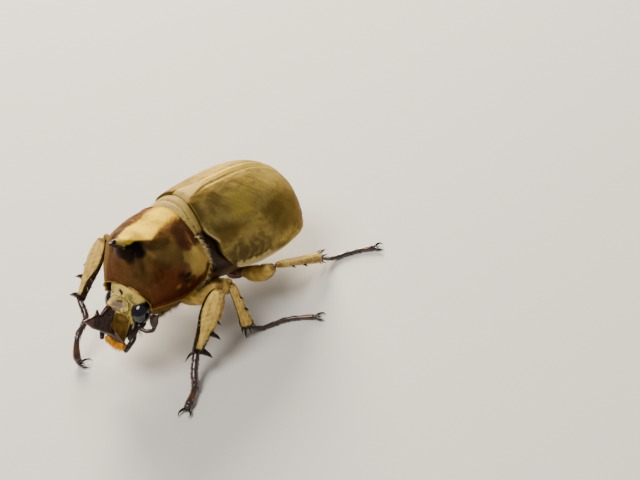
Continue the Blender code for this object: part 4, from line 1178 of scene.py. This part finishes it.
headHorn = {
    # the blade's upper and lower edge (y, z), from the face to the tip
    "upper": ((-12.9, -3.6), (-13.3, -3.2), (-13.42, -2.5), (-13.55, -2.0), (-13.85, -1.86), (-14.3, -2.1),
              (-14.8, -2.45), (-15.15, -2.68), (-15.35, -2.66), (-15.5, -2.3), (-15.64, -1.66),
              (-15.8, -2.12), (-16.09, -2.39), (-16.8, -2.48), (-17.5, -2.42), (-18.07, -2.5)),
    "lower": ((-12.9, -6.6), (-13.3, -6.8), (-14.55, -5.81), (-15.7, -4.9), (-16.73, -4.14), (-17.69, -2.99),
              (-18.07, -2.56)),
    "span": (-12.9, -18.06),          # y of its root in the face and of its tip
    "half": 0.42,
    "edge": 0.55,                     # how far in from its edge the blade thins
    "look": dict(
        base=(0.018, 0.007, 0.006), mottle=(0.030, 0.012, 0.010), sizes=(0.8, 0.10, 0.06, 0.22),
        hairTip=(0.6, 0.5, 0.35), hairRoot=(0.02, 0.010, 0.010), hair=0.1, silk=0.25, edge=(0.7, 0.5, 0.42),
        # the pale coat is painted glints
        coats=(("tip", (0.075, 0.040, 0.034), 0.1), ("pale", (0.38, 0.28, 0.25), 0.2)),
        gloss=0.26, coat=0.3, relief=(0.4, 0.25, 0.15),
    ),
}


def makeHeadHorn(material):
    along = np.linspace(*headHorn["span"], 220)
    smooth = np.exp(-np.linspace(-2, 2, 7) ** 2)
    edges = []
    for line in (np.array(headHorn["upper"]), np.array(headHorn["lower"])):
        level = np.pad(np.interp(-along, -line[:, 0], line[:, 1]), 3, mode="edge")
        edges.append(np.convolve(level, smooth / smooth.sum(), mode="valid"))
    up = 0.5 - 0.5 * np.cos(math.pi * np.linspace(0, 1, 60))
    height = (edges[0] - edges[1])[:, None]
    inside = np.minimum(up, 1 - up)[None, :] * height
    thin = headHorn["half"] * np.sqrt(1 - (1 - np.minimum(inside / headHorn["edge"], 1)) ** 2)
    thin = thin * mix(1.35, 0.75, ease((-13.2 - along) / 2.6))[:, None]
    half = np.stack(np.broadcast_arrays(thin, along[:, None], edges[1][:, None] + height * up), axis=-1)
    rings = np.concatenate([half, half[:, -2:0:-1] * (-1, 1, 1)], axis=1)
    rings[..., 0] *= 1 + 0.08 * ripple(rings, 0.9, 5)
    y = rings[..., 1]
    # pale specks near the blade's root are painted glints
    pale = 0.6 * ease((ripple(rings, 0.38, 7) - 0.62) / 0.25) * ease((y + 15.2) / 1.5)
    shape = Shape()
    shape.addRings(rings, pale=pale, tip=0.9 * ease((-15.9 - y) / 1.2))
    dress("head_horn", shape, headFrame, material)


feelers = {
    "palp": (((2.6, -11.7, -6.0), 0.24), ((2.85, -12.2, -6.6), 0.34), ((2.7, -12.75, -7.2), 0.36),
             ((2.45, -13.15, -7.9), 0.3), ((2.3, -13.3, -8.2), 0.2)),
    "stalk": (((2.9, -11.2, -5.2), 0.24), ((3.9, -10.9, -5.45), 0.26), ((4.55, -10.3, -5.35), 0.24),
              ((4.75, -10.1, -4.8), 0.26)),
    "club": ((4.75, -10.1, -5.0), (4.7, -10.15, -2.95)),
    # each leaf of the club: (share of its length, share of the leaves' spread, radius)
    "leaf": ((0.0, 0.4, 0.18), (0.4, 1.0, 0.5), (0.9, 1.0, 0.42), (1.0, 0.8, 0.2)),
    "spread": 0.25,
    "rightSwing": (0.5, 0.8, -0.5),   # the right feeler is folded further back
    "look": dict(
        base=(0.010, 0.006, 0.007), mottle=(0.022, 0.011, 0.009),
        hairTip=(0.4, 0.3, 0.2), hairRoot=(0.01, 0.006, 0.005), silk=0.2,
        coats=(("brown", (0.045, 0.018, 0.009), 0.2),),
        gloss=0.14, coat=0.6, relief=(0.3, 0.4, 0.3),
    ),
}


def joints(shape, stations, brown):
    # short segments that swell between their joints and overlap a little there
    for (a, narrow), (b, wide) in zip(stations, stations[1:]):
        a, b = a - (b - a) * 0.12, b + (b - a) * 0.12
        middle = ((a + b) / 2, max(narrow, wide) * 1.05)
        shape.tube(((a, narrow), middle, (b, wide)), rows=30, brown=brown)


def makeFeelers(material):
    for side, end in ((1, "left"), (-1, "right")):
        swing = (0, 0, 0) if side > 0 else feelers["rightSwing"]
        palp = Shape()
        joints(palp, placed(feelers["palp"], side), 0.3)
        dress("palp_" + end, palp, headFrame, material)
        antenna = Shape()
        joints(antenna, placed(feelers["stalk"], side, swing), 0.5)
        low, high = (np.array(p) * (side, 1, 1) + swing for p in feelers["club"])
        for k in (-1, 0, 1):                            # three leaves, closed like a book
            leaf = [(mix(low, high, share) + (feelers["spread"] * k * spread, 0, 0), radius)
                    for share, spread, radius in feelers["leaf"]]
            antenna.tube(leaf, across=(0, 1, 0), squash=0.29, rows=46, brown=0.6)
        dress("antenna_" + end, antenna, headFrame, material)


brush = {
    "half": 1.8,
    "lip": (-13.05, -7.45),           # where the brush grows from (y, z), behind the face plate's front edge
    "depth": 1.55,
    "bristles": 900,
    "look": dict(
        base=(0.86, 0.37, 0.016), mottle=(0.60, 0.22, 0.010), sizes=(0.5, 0.1, 0.05, 0.2),
        hairTip=(0.80, 0.45, 0.04), hairRoot=(0.20, 0.07, 0.01), hair=0.6, silk=0.3, edge=(0.8, 0.45, 0.1),
        coats=(("tip", (0.95, 0.55, 0.05), 0.8),), gloss=0.3, relief=(0.8, 0.5, 0.2),
    ),
}


def makeBrush(material):
    # a dense fringe of bristles under the face plate, on a soft lip
    y, z = brush["lip"]
    x = np.linspace(-1, 1, 70) * brush["half"]
    path = np.stack([x, np.full(70, y + 0.25), z - 0.25 - 0.35 * np.cos(x / brush["half"] * math.pi / 2)], 1)
    thick = 0.42 * roundEnds(np.linspace(0, 1, 70))
    shape = Shape()
    shape.addRings(tubeRings(path, thick, thick * 1.3, (0, 1, 0), 40), tip=0.2)
    dress("mouth_brush", shape, headFrame, material)
    coat = Coat()
    for _ in range(brush["bristles"]):
        x = random.uniform(-1, 1) * brush["half"]
        fullness = mix(0.62, 1.0, math.cos(x / brush["half"] * math.pi / 2))
        depth = brush["depth"] * fullness * random.uniform(0.8, 1.05)
        back = random.uniform(-0.2, 0.5)
        lean = (random.normal(0, 0.12), random.uniform(-0.25, 0.3), -1.0)
        spot = (0.5 + 0.45 * x / brush["half"], 0.3 + 0.6 * back)
        coat.hair((x, y + back, z - random.uniform(0.1, 0.5)), lean, depth * 0.75, 0.045, (0, 0.12, 0), spot)
    coat.make("mouth_brush_bristles", headFrame, material)


# legs, in the stance frame

legs = {
    "front_left": dict(
        coxa=((3.2, -4.9, 7.2), (1.5, 1.3, 1.3)), hip=(3.9, -4.2, 7.4), knee=(9.2, -0.8, 10.1),
        ankle=(10.3, -7.7, 3.3), broad=(0.77, 0.52, -0.38), size=(1.25, 1.3, 0.75),
        foot=((11.4, -9.4, 1.75), (12.5, -10.4, 0.95), (13.8, -12.6, 0.42), (14.4, -13.8, 0.38)),
        stout=1.3,
    ),
    "front_right": dict(
        coxa=((-3.2, -5.6, 6.0), (1.5, 1.3, 1.3)), hip=(-4.2, -5.5, 6.3), knee=(-9.1, -4.7, 11.7),
        ankle=(-7.6, -12.0, 5.6), broad=(-0.95, -0.15, -0.2), size=(1.25, 1.3, 0.75),
        foot=((-5.7, -12.9, 4.4), (-4.7, -15.5, 3.3), (-3.9, -16.8, 1.2), (-3.2, -16.9, 0.15)),
        aim=(0.8, 0.6, -0.1), stout=1.12,
    ),
    "mid_left": dict(
        coxa=((2.7, 2.2, 4.8), (1.6, 1.3, 1.2)), hip=(3.7, 2.0, 5.4), knee=(9.2, 0.8, 9.5),
        ankle=(10.3, 1.4, 1.3), broad=(0.5, 0.8, 0.0), size=(1.1, 0.75, 0.6),
        foot=((11.1, 3.0, 0.4), (12.5, 6.2, 0.33), (14.2, 8.1, 0.33), (15.6, 9.3, 0.35)),
    ),
    "mid_right": dict(
        coxa=((-2.7, 2.2, 4.8), (1.6, 1.3, 1.2)), hip=(-3.7, 2.3, 5.4), knee=(-9.0, 3.0, 8.8),
        ankle=(-10.8, 2.6, 1.3), broad=(-0.5, 0.8, 0.0), size=(1.1, 0.75, 0.6),
        foot=((-11.6, 4.0, 0.4), (-12.9, 7.0, 0.33), (-14.3, 9.0, 0.33), (-15.4, 10.2, 0.35)),
    ),
    "hind_left": dict(
        coxa=((2.6, 6.6, 3.5), (1.7, 1.4, 1.1)), hip=(3.9, 6.9, 3.9), knee=(9.1, 8.4, 6.6),
        ankle=(8.9, 16.6, 2.0), broad=(0.9, 0.1, 0.1), size=(1.2, 0.8, 0.65),
        foot=((9.1, 18.3, 0.6), (9.8, 20.4, 0.33), (11.0, 22.4, 0.33), (12.2, 23.9, 0.35)),
    ),
    "hind_right": dict(
        coxa=((-2.6, 6.6, 3.5), (1.7, 1.4, 1.1)), hip=(-3.9, 6.9, 3.9), knee=(-9.1, 8.6, 6.4),
        ankle=(-9.4, 16.6, 2.0), broad=(-0.9, 0.1, 0.1), size=(1.2, 0.8, 0.65),
        foot=((-9.8, 18.3, 0.6), (-10.7, 20.3, 0.33), (-12.1, 22.0, 0.33), (-13.5, 23.2, 0.35)),
    ),
}
legBuild = {
    "sag": 1.0,
    "femur": ((0.0, 0.55), (0.18, 0.85), (0.42, 1.0), (0.66, 0.92), (0.86, 0.66), (1.0, 0.44)),
    # (share, width, thickness) along a digging front tibia and along the others
    "digger": ((0.0, 0.42, 0.8), (0.07, 0.7, 0.9), (0.2, 0.95, 1.0), (0.36, 1.0, 1.0),
               (0.44, 0.95, 0.97), (0.51, 0.9, 0.95), (0.59, 0.8, 0.92), (0.68, 0.7, 0.88),
               (0.88, 0.55, 0.8), (0.95, 0.5, 0.75), (1.0, 0.42, 0.65)),
    "walker": ((0.0, 0.5, 0.6), (0.12, 0.7, 0.75), (0.4, 0.78, 0.8), (0.7, 0.9, 0.9),
               (0.92, 1.15, 1.1), (1.0, 0.95, 0.95)),
    # (share, length, radius) of a digging tibia's teeth, and (share, side, length) of the others' spines
    "teeth": ((0.46, 0.8, 0.34), (0.64, 1.65, 0.42), (0.93, 1.7, 0.45)),
    "spines": ((0.3, 0.9, 0.45), (0.55, 0.9, 0.55), (0.32, 0.3, 0.4), (0.57, 0.9, 0.45)),
    "femurFur": (260, 0.42, 0.6),     # hairs, their length and how far they lie down
    "tibiaFur": (220, 0.28, 0.65),
    # where along the tarsus its joints meet, and the shape of a joint from root to end
    "diggerJoints": (0.0, 0.15, 0.29, 0.43, 0.57, 1.0),
    "walkerJoints": (0.0, 0.24, 0.42, 0.58, 0.72, 1.0),
    "joint": (0.78, 0.84, 0.94, 1.04, 1.12, 1.0),
    "lastJoint": (0.72, 0.84, 1.0, 1.22, 1.28, 1.0),
    "tarsus": 0.4,
    "claw": 1.7,
    "look": dict(
        base=(0.42, 0.275, 0.070), mottle=(0.26, 0.155, 0.035), sizes=(0.6, 0.14, 0.06, 0.3),
        hairTip=(0.80, 0.62, 0.22), hairRoot=(0.07, 0.035, 0.01), hair=1.0,
        ragged=0.9, soft=0.45, silk=0.35, specular=0.15, edge=(0.8, 0.56, 0.22),
        coats=(
            ("gold", (0.86, 0.60, 0.150), 1.0),
            ("brown", (0.20, 0.105, 0.026), 0.8),
            ("dark", (0.010, 0.006, 0.006), 0.0),
        ),
        gloss=0.18, coat=0.6, relief=(0.9, 0.5, 0.4),
    ),
    "footLook": dict(
        base=(0.048, 0.031, 0.032), mottle=(0.070, 0.042, 0.038),
        hairTip=(0.5, 0.36, 0.2), hairRoot=(0.012, 0.008, 0.008), silk=0.35,
        coats=(("brown", (0.130, 0.055, 0.026), 0.1), ("dark", (0.010, 0.007, 0.008), 0.0)),
        gloss=0.2, coat=0.8, relief=(0.3, 0.35, 0.2),
    ),
}


legCoat = Coat()


def legPatch(name, down):
    # the part of the leg hairs' map kept for one limb: (left, bottom, width, height)
    return list(legs).index(name.rsplit("_", 1)[0]) / 6 + 0.005, down, 0.15, 0.44


def limbAxes(path, broad):
    ahead = unit(np.gradient(path, axis=0))
    across = unit(np.array(broad) - ahead * (ahead @ np.array(broad))[:, None])
    return ahead, across, np.cross(ahead, across)


def limbSkin(path, broad, halfBroad, halfThin, keel):
    # a flattened limb; keel pulls its broad edges out into ridges
    _, across, over = limbAxes(path, broad)
    turn = around(72)
    c, s = np.cos(turn), np.sin(turn)
    edge = 1 + keel * np.abs(c) ** 12
    rings = path[:, None, :] + across[:, None, :] * (c * edge)[None, :, None] * halfBroad[:, None, None]
    return rings + over[:, None, :] * s[None, :, None] * halfThin[:, None, None], c


def onFloor(rings):
    rings[..., 2] = np.maximum(rings[..., 2], 0.0)
    return rings


def makeFemur(name, leg, material):
    hip, knee = np.array(leg["hip"]), np.array(leg["knee"])
    shares = np.linspace(0, 1, 80)
    path = hip + (knee - hip) * shares[:, None]
    path[:, 2] -= legBuild["sag"] * 4 * shares * (1 - shares)
    scale = profileAt(legBuild["femur"], shares)[0] * leg["size"][0] * roundEnds(shares, 0.03, 0.07)
    rings, c = limbSkin(path, (0.0, 0.0, 1.0), scale, scale * 0.8, 0.05)
    rings += outward(rings) * (0.03 * ripple(rings, 1.2, 3) + 0.012 * ripple(rings, 0.4, 5))[..., None]
    weight = (0.2 + ease(np.abs(c) - 0.5))[None, :] * ease((0.97 - shares) / 0.2)[:, None]
    count, length, lie = legBuild["femurFur"]
    legCoat.fur(rings, count, weight, length, lie, legPatch(name, 0.02))
    shape = Shape()
    shape.addRings(
        rings, gold=0.65 * ease((shares - 0.15) / 0.3)[:, None] + 0.3 * ripple(rings, 1.1, 14),
        dark=0.6 * ease((-c - 0.72) / 0.2),
        brown=(0.8 * ease((0.3 - shares) / 0.3) + 0.9 * ease((shares - 0.9) / 0.08))[:, None],
    )
    dress(name, shape, floorFrame, material)


def makeTibia(name, leg, material, front):
    knee, ankle = np.array(leg["knee"]), np.array(leg["ankle"])
    size, broad, thin = leg["size"]
    start = knee + unit(ankle - knee) * size * 0.5
    shares = np.linspace(0, 1, 110)
    wide, deep = profileAt(legBuild["digger" if front else "walker"], shares)
    wide = wide * broad * roundEnds(shares, 0.02, 0.02)
    deep = deep * thin * roundEnds(shares, 0.02, 0.02)
    path = start + (ankle - start) * shares[:, None]
    rings, c = limbSkin(path, leg["broad"], wide, deep, 0.12)
    ahead, across, over = limbAxes(path, leg["broad"])
    keels = near(np.abs(c), 0.35, 0.16)[None, :]        # low keels run along both flat sides
    lift = (0.05 * keels * ease(shares / 0.2)[:, None]
            + 0.025 * ripple(rings, 0.9, 4) + 0.012 * ripple(rings, 0.35, 6))
    rings = onFloor(rings + outward(rings) * lift[..., None])
    weight = (0.15 + ease((c - 0.4) / 0.4))[None, :] * ease((0.9 - shares) / 0.2)[:, None]
    count, length, lie = legBuild["tibiaFur"]
    legCoat.fur(rings, count, weight, length, lie, legPatch(name, 0.52))
    narrow = mix(0.78, 0.3, ease((shares - 0.4) / 0.4))[:, None] if front else 0.78
    inner = ease((-c[None, :] - narrow) / 0.18)
    tip = ease((shares - 0.86) / 0.08)[:, None]
    toothed = ease((c[None, :] - 0.5) / 0.3) * ease((shares - 0.66) / 0.12)[:, None] * front
    blotches = 0.3 * ripple(rings, 1.0, 15)
    shape = Shape()
    shape.addRings(
        rings, gold=0.72 * (1 - inner) * (1 - 0.4 * keels) + blotches,
        dark=np.maximum(np.maximum(0.85 * inner, tip), toothed),
        brown=0.75 * ease((c[None, :] - 0.55) / 0.4) + 0.8 * ease((0.1 - shares) / 0.1)[:, None] - blotches,
    )

    def spine(share, side, length, radius, lean, thickSide=0.0):
        i = int(round(share * 109))
        out = across[i] * side + over[i] * thickSide
        base = path[i] + across[i] * side * wide[i] * 0.8 + over[i] * thickSide * deep[i] * 0.8
        points = (base + out * length * 0.55 + ahead[i] * length * lean * 0.3,
                  base + out * length + ahead[i] * length * lean)
        shape.cone(base, points, radius, floor=0.05, dark=1.2)

    if front:
        for share, length, radius in legBuild["teeth"]:
            spine(share, 1, length, radius, 0.25)
        for k in range(7):
            spine(0.08 + 0.05 * k, 1, 0.22, 0.1, 0.3)
        for k in range(22):
            spine(0.12 + 0.036 * k, -1, 0.16, 0.085, 0.4)
        spine(0.97, -0.6, 1.3, 0.2, 1.4)
    else:
        for share, side, length in legBuild["spines"]:
            spine(share, side, length, 0.15, 0.8, 0.6)
        for turn in around(9):
            spine(0.965, math.cos(turn), 0.42, 0.12, 2.0, math.sin(turn))
        spine(0.97, -0.5, 0.95, 0.2, 2.4, 0.5)
        spine(0.97, -0.3, 0.75, 0.17, 2.4, -0.7)
        for k in range(12):
            spine(0.15 + 0.06 * k, 1, 0.2, 0.08, 1.0)
    dress(name, shape, floorFrame, material)


def makeTarsus(name, leg, material, front):
    # five joints, narrow at the root and wide at the end, then two hooked claws and a bristly pad
    ankle, foot = np.array(leg["ankle"]), np.array(leg["foot"])
    route = np.concatenate([[ankle - unit(foot[0] - ankle) * 0.3], foot])
    joints = legBuild["diggerJoints" if front else "walkerJoints"]
    thick = legBuild["tarsus"] * leg.get("stout", 0.82)
    shares = np.linspace(0, 1, 44)
    shape = Shape()
    for n, (a, b) in enumerate(zip(joints, joints[1:])):
        last = n == 4
        path = curveAt(route, mix(max(a - 0.02, 0), min(b + 0.012, 1), shares))
        path[:, 2] = np.maximum(path[:, 2], thick * 0.85)
        profile = legBuild["lastJoint" if last else "joint"]
        size = curveAt(profile, shares) * thick * roundEnds(shares, 0.06, 0.1)
        size = size * (1 - 0.1 * near(shares, 0.82, 0.05))
        rings = onFloor(tubeRings(path, size, size * 0.92, (1, 0, 0.2), 36))
        shape.addRings(rings, brown=0.7 * near(shares, 0.45, 0.4)[:, None] * (1.0 if last else 0.5))
        if not last:
            ahead = unit(path[-1] - path[-6])
            across = unit(np.cross(ahead, (0, 0, 1)))
            for sign in (-1, 1):
                base = path[-4] + across * sign * thick * 0.8 - (0, 0, thick * 0.3)
                points = (base + ahead * 0.25 + across * sign * 0.12,
                          base + ahead * 0.5 + across * sign * 0.1 - (0, 0, 0.1))
                shape.cone(base, points, 0.07, sides=8, floor=0.04, dark=1.0)
    end, ahead = curveAt(route, 0.97), unit(curveAt(route, 1.0) - curveAt(route, 0.94))
    end = np.maximum(end, (-99, -99, thick * 0.8))
    ahead = unit(np.array(leg.get("aim", ahead)) * (1, 1, 0))
    across = unit(np.cross(ahead, (0, 0, 1)))
    length = legBuild["claw"] * (1.0 if front else 0.8)
    for sign in (-1, 1):
        base = end + across * sign * 0.2
        points = (base + across * sign * 0.26 * length + ahead * 0.33 * length + (0, 0, 0.06),
                  base + across * sign * 0.36 * length + ahead * 0.68 * length,
                  base + across * sign * 0.26 * length + ahead * 0.95 * length - (0, 0, 0.2))
        shape.cone(base, points, 0.21, floor=0.06, dark=1.0)
    shape.cone(end, (end + ahead * 0.4, end + ahead * 0.75), 0.13, dark=0.6)
    dress(name, shape, floorFrame, material)


def makeCoxa(name, leg, material):
    centre, radii = leg["coxa"]
    ball = ballRings(40, 64, 0.03)
    shape = Shape()
    rings = np.array(centre) + ball * radii * (1 + 0.03 * ripple(ball, 0.8, 2))[..., None]
    shape.addRings(rings, brown=0.8, dark=0.4 * ease(-ball[..., 2]))
    dress(name, shape, floorFrame, material)


prosternum = {
    # y, level of the top, half width, level of the bottom
    "stations": ((-1.7, -0.9, 3.0, -4.3), (-4.5, -1.2, 3.6, -5.6), (-6.4, -1.4, 3.8, -5.9),
                 (-8.2, -1.5, 3.2, -5.4), (-9.2, -1.9, 2.5, -4.6)),
    "keel": ((0, -4, -5.6), (0, -8.5, -5.2)),
}


def makeProsternum(material):
    y, top, half, bottom = curveAt(prosternum["stations"], np.linspace(0, 1, 70)).T[..., None]
    turn = around(120)[None, :]
    level = mix(bottom, top, 0.5 + 0.5 * np.sin(turn))
    rings = np.stack(np.broadcast_arrays(half * np.cos(turn), y, level), axis=-1)
    keel = stroke(rings, prosternum["keel"], 0.9)
    rings[..., 2] -= 0.25 * keel
    rings = rings + 0.04 * ripple(rings, 1.3, 2)[..., None] * (1, 0, 1)
    shape = Shape()
    shape.addRings(rings, velvet=0.7 * (1 - keel))
    dress("prosternum", shape, foreFrame, material)


# fringes of long hair

fringe = {
    # hairs a side (for the throat, in all) and their length
    "shield": (170, 1.0),             # along the shield's hind and lower margin
    "waist": (260, 0.9),
    "throat": (420, 0.75),
    "cheek": (16, 1.15),
    "look": dict(sizes=(0.5, 0.1, 0.05, 0.2), hair=0.6, silk=0.3, gloss=0.3, relief=(0.2, 0.2, 0.1)),
    "pale": dict(base=(0.62, 0.45, 0.17), mottle=(0.42, 0.28, 0.08), hairTip=(0.9, 0.75, 0.4),
                 hairRoot=(0.2, 0.11, 0.03), coats=(("tip", (0.85, 0.68, 0.33), 0.6),)),
    "brown": dict(base=(0.10, 0.055, 0.018), mottle=(0.050, 0.025, 0.009), hairTip=(0.5, 0.35, 0.14),
                  hairRoot=(0.02, 0.01, 0.005), coats=(("tip", (0.36, 0.24, 0.08), 0.6),)),
}


def makeFringes(pale, brown):
    coat = Coat()
    count, length = fringe["shield"]
    for side in np.repeat((-1, 1), count):
        t = random.uniform(0, 1)
        if t < 0.6:                                     # along the hind margin
            u, v = random.uniform(0, 0.03), mix(0.56, 1.0, t / 0.6)
        else:                                           # along the lower one
            u, v = mix(0.0, 0.4, (t - 0.6) / 0.4), 0.995
        way = np.array((side * 0.55, mix(1.0, 0.35, t), mix(0.1, -0.75, t))) + random.normal(0, 0.3, 3)
        root = shieldPoint(np.array(u), np.array(side * v)) - np.array((side * 0.12, -0.05, -0.05))
        size = length * mix(1.0, 0.5, t) * random.uniform(0.4, 1.2)
        coat.hair(root, way, size, 0.034, (side * 0.1, -0.05, -0.25), (0.5 + 0.46 * side * v, 0.05 + 0.9 * u))
    coat.make("shield_fringe", foreFrame, pale)
    coat = Coat()
    count, length = fringe["cheek"]
    for side in np.repeat((-1, 1), count):
        root = side * random.uniform(2.5, 3.3), random.uniform(-11.7, -10.9), -5.2 - random.uniform(0, 0.7)
        way = np.array((side * 0.55, -0.5, -0.8)) + random.normal(0, 0.25, 3)
        spot = (0.5 + 0.1 * root[0], 0.5 + 0.1 * (root[1] + 11.3))
        coat.hair(root, way, length * random.uniform(0.6, 1.2), 0.03, (side * 0.25, -0.1, 0.2), spot)
    coat.make("cheek_hairs", headFrame, pale)
    coat = Coat()
    count, length = fringe["waist"]
    for side in np.repeat((-1, 1), count):
        turn, y = random.uniform(-0.25, 0.55), random.uniform(-1.5, -0.2)
        flank = elytraPoint(0.0, abs(turn), 0.95)
        root = side * (flank[0] - 0.12 * abs(y)), y, flank[2] * (1 if turn > 0 else -2)
        way = side * 0.7, random.uniform(-0.3, 0.7), random.uniform(-0.5, 0.3)
        spot = (0.25 + 0.4 * (side > 0) + 0.1 * turn, 0.5 + 0.2 * y)
        coat.hair(root, way, length * random.uniform(0.5, 1.2), 0.04, (0, 0.1, -0.25), spot)
    coat.make("waist_hairs", trunkFrame, brown)
    coat = Coat()
    count, length = fringe["throat"]
    for _ in range(count):
        side = random.choice((-1, 1))
        y, turn = random.uniform(-9.0, -3.6), random.uniform(0.1, 1.5)
        root = side * 3.3 * math.cos(turn) ** 0.7, y, -4.1 - 1.4 * math.sin(turn)
        way = np.array((side * 0.5 * math.cos(turn), -0.25, -0.9)) + random.normal(0, 0.2, 3)
        spot = (0.5 + side * 0.3 * (1.6 - turn), 0.1 + 0.1 * (y + 9))
        coat.hair(root, way, length * random.uniform(0.5, 1.2), 0.038, (0, 0, -0.1), spot)
    coat.make("throat_hairs", foreFrame, brown)


# camera, lights and floor

view = {
    "turn": 47.0,                     # round the trunk's own upright, from its front towards its left
    "rise": 32.7,
    "roll": 1.8,
    "distance": 380.0,
    "aim": (18.87, 1.516),            # the middle of the view from the wing-case base, to its right and above
    "lens": 160.7,
}


def makeView():
    a, e, r = (math.radians(view[k]) for k in ("turn", "rise", "roll"))
    right = Vector((math.cos(a), math.sin(a), 0))
    up = Vector((-math.sin(a) * math.sin(e), math.cos(a) * math.sin(e), math.cos(e)))
    back = Vector((math.sin(a) * math.cos(e), -math.cos(a) * math.cos(e), math.sin(e)))
    right, up = right * math.cos(r) + up * math.sin(r), up * math.cos(r) - right * math.sin(r)
    spot = trunkFrame @ (back * view["distance"])
    target = trunkFrame @ (right * view["aim"][0] + up * view["aim"][1])
    back = (spot - target).normalized()
    up = trunkFrame.to_3x3().normalized() @ up
    side = up.cross(back).normalized()
    up = back.cross(side)
    data = bpy.data.cameras.new("camera")
    data.lens = view["lens"]
    data.clip_start = 0.01
    data.clip_end = 10
    camera = bpy.data.objects.new("camera", data)
    camera.matrix_world = Matrix((side, up, back)).transposed().to_4x4()
    camera.location = spot
    bpy.context.scene.collection.objects.link(camera)
    bpy.context.scene.camera = camera
    return side, up, back


studio = {
    # name: (place in metres along camera right, up and towards it, size, watts, colour)
    "lamps": {
        "key": ((-0.08, 0.36, -0.16), 0.20, 4.5, (1.0, 0.87, 0.66)),
        "front": ((-0.20, 0.22, 0.30), 0.25, 1.9, (1.0, 0.93, 0.82)),
        "rim": ((0.28, 0.26, -0.20), 0.14, 0.9, (1.0, 0.95, 0.88)),
    },
    "world": ((1.0, 0.97, 0.92, 1.0), 0.22),
    "floor": (0.73, 0.72, 0.71),
    "blotches": (0.74, 0.73, 0.70),
    "reach": 3.0,                     # half the floor's width, in metres
}


def makeStudio(side, up, back):
    middle = (cadBox[0] + cadBox[1]) / 2
    for name, (place, size, watts, colour) in studio["lamps"].items():
        data = bpy.data.lights.new(name + "_light", "AREA")
        data.shape = "DISK"
        data.size = size
        data.energy = watts
        data.color = colour
        lamp = bpy.data.objects.new(name + "_light", data)
        lamp.location = middle + side * place[0] + up * place[1] + back * place[2]
        lamp.rotation_euler = (lamp.location - middle).to_track_quat("Z", "Y").to_euler()
        bpy.context.scene.collection.objects.link(lamp)
    world = bpy.data.worlds.new("studio")
    world.use_nodes = True
    glow = world.node_tree.nodes["Background"].inputs
    glow["Color"].default_value, glow["Strength"].default_value = studio["world"]
    bpy.context.scene.world = world
    finish = Finish("floor_finish", Roughness=0.7)
    grain = finish.noise(finish.place(), 9.0, 3.0)
    finish.set("Base Color", finish.blend(grain * 0.3, studio["floor"], studio["blotches"]))
    mesh = bpy.data.meshes.new("floor")
    reach = studio["reach"]
    corners = [(-reach, -reach, 0), (reach, -reach, 0), (reach, reach, 0), (-reach, reach, 0)]
    mesh.from_pydata(corners, [], [(0, 1, 2, 3)])
    mesh.materials.append(finish.material)
    floor = bpy.data.objects.new("floor", mesh)
    bpy.context.scene.collection.objects.link(floor)


# assembly

elytraFinish = shellFinish("elytra_velvet", **elytra["look"])
makeElytron("elytron_left", 1, elytraFinish)
makeElytron("elytron_right", -1, elytraFinish)
trunkFinish = shellFinish("belly_shell", **trunk["look"])
makeTrunk(trunkFinish)
makeProsternum(trunkFinish)
waistFinish = shellFinish("waist_cream", **waist["look"])
makeScutellum(waistFinish)
makeWaist(waistFinish)
print("trunk made")

makeShield(shellFinish("shield_shell", **shield["look"]))
makeShieldHorn(shellFinish("horn_shell", **shieldHorn["look"]))
print("shield made")

makeHead(shellFinish("head_velvet", **headParts["look"]))
makeEyes(shellFinish("eye_gloss", **eyes["look"]))
makeFacePlate(shellFinish("face_shell", **facePlate["look"]))
makeHeadHorn(shellFinish("blade_shell", **headHorn["look"]))
makeFeelers(shellFinish("feeler_shell", **feelers["look"]))
makeBrush(shellFinish("brush_bristle", **brush["look"]))
print("head made")

legFinish = shellFinish("leg_velvet", **legBuild["look"])
footFinish = shellFinish("foot_gloss", **legBuild["footLook"])
for legName, leg in legs.items():
    isFront = legName.startswith("front")
    makeCoxa(legName + "_coxa", leg, footFinish)
    makeFemur(legName + "_femur", leg, legFinish)
    makeTibia(legName + "_tibia", leg, legFinish, isFront)
    makeTarsus(legName + "_tarsus", leg, footFinish, isFront)
paleHair = shellFinish("pale_hair", **fringe["look"], **fringe["pale"])
legCoat.make("leg_hairs", floorFrame, paleHair)
print("legs made")

makeFringes(paleHair, shellFinish("brown_hair", **fringe["look"], **fringe["brown"]))
print("fringes made")

makeStudio(*makeView())
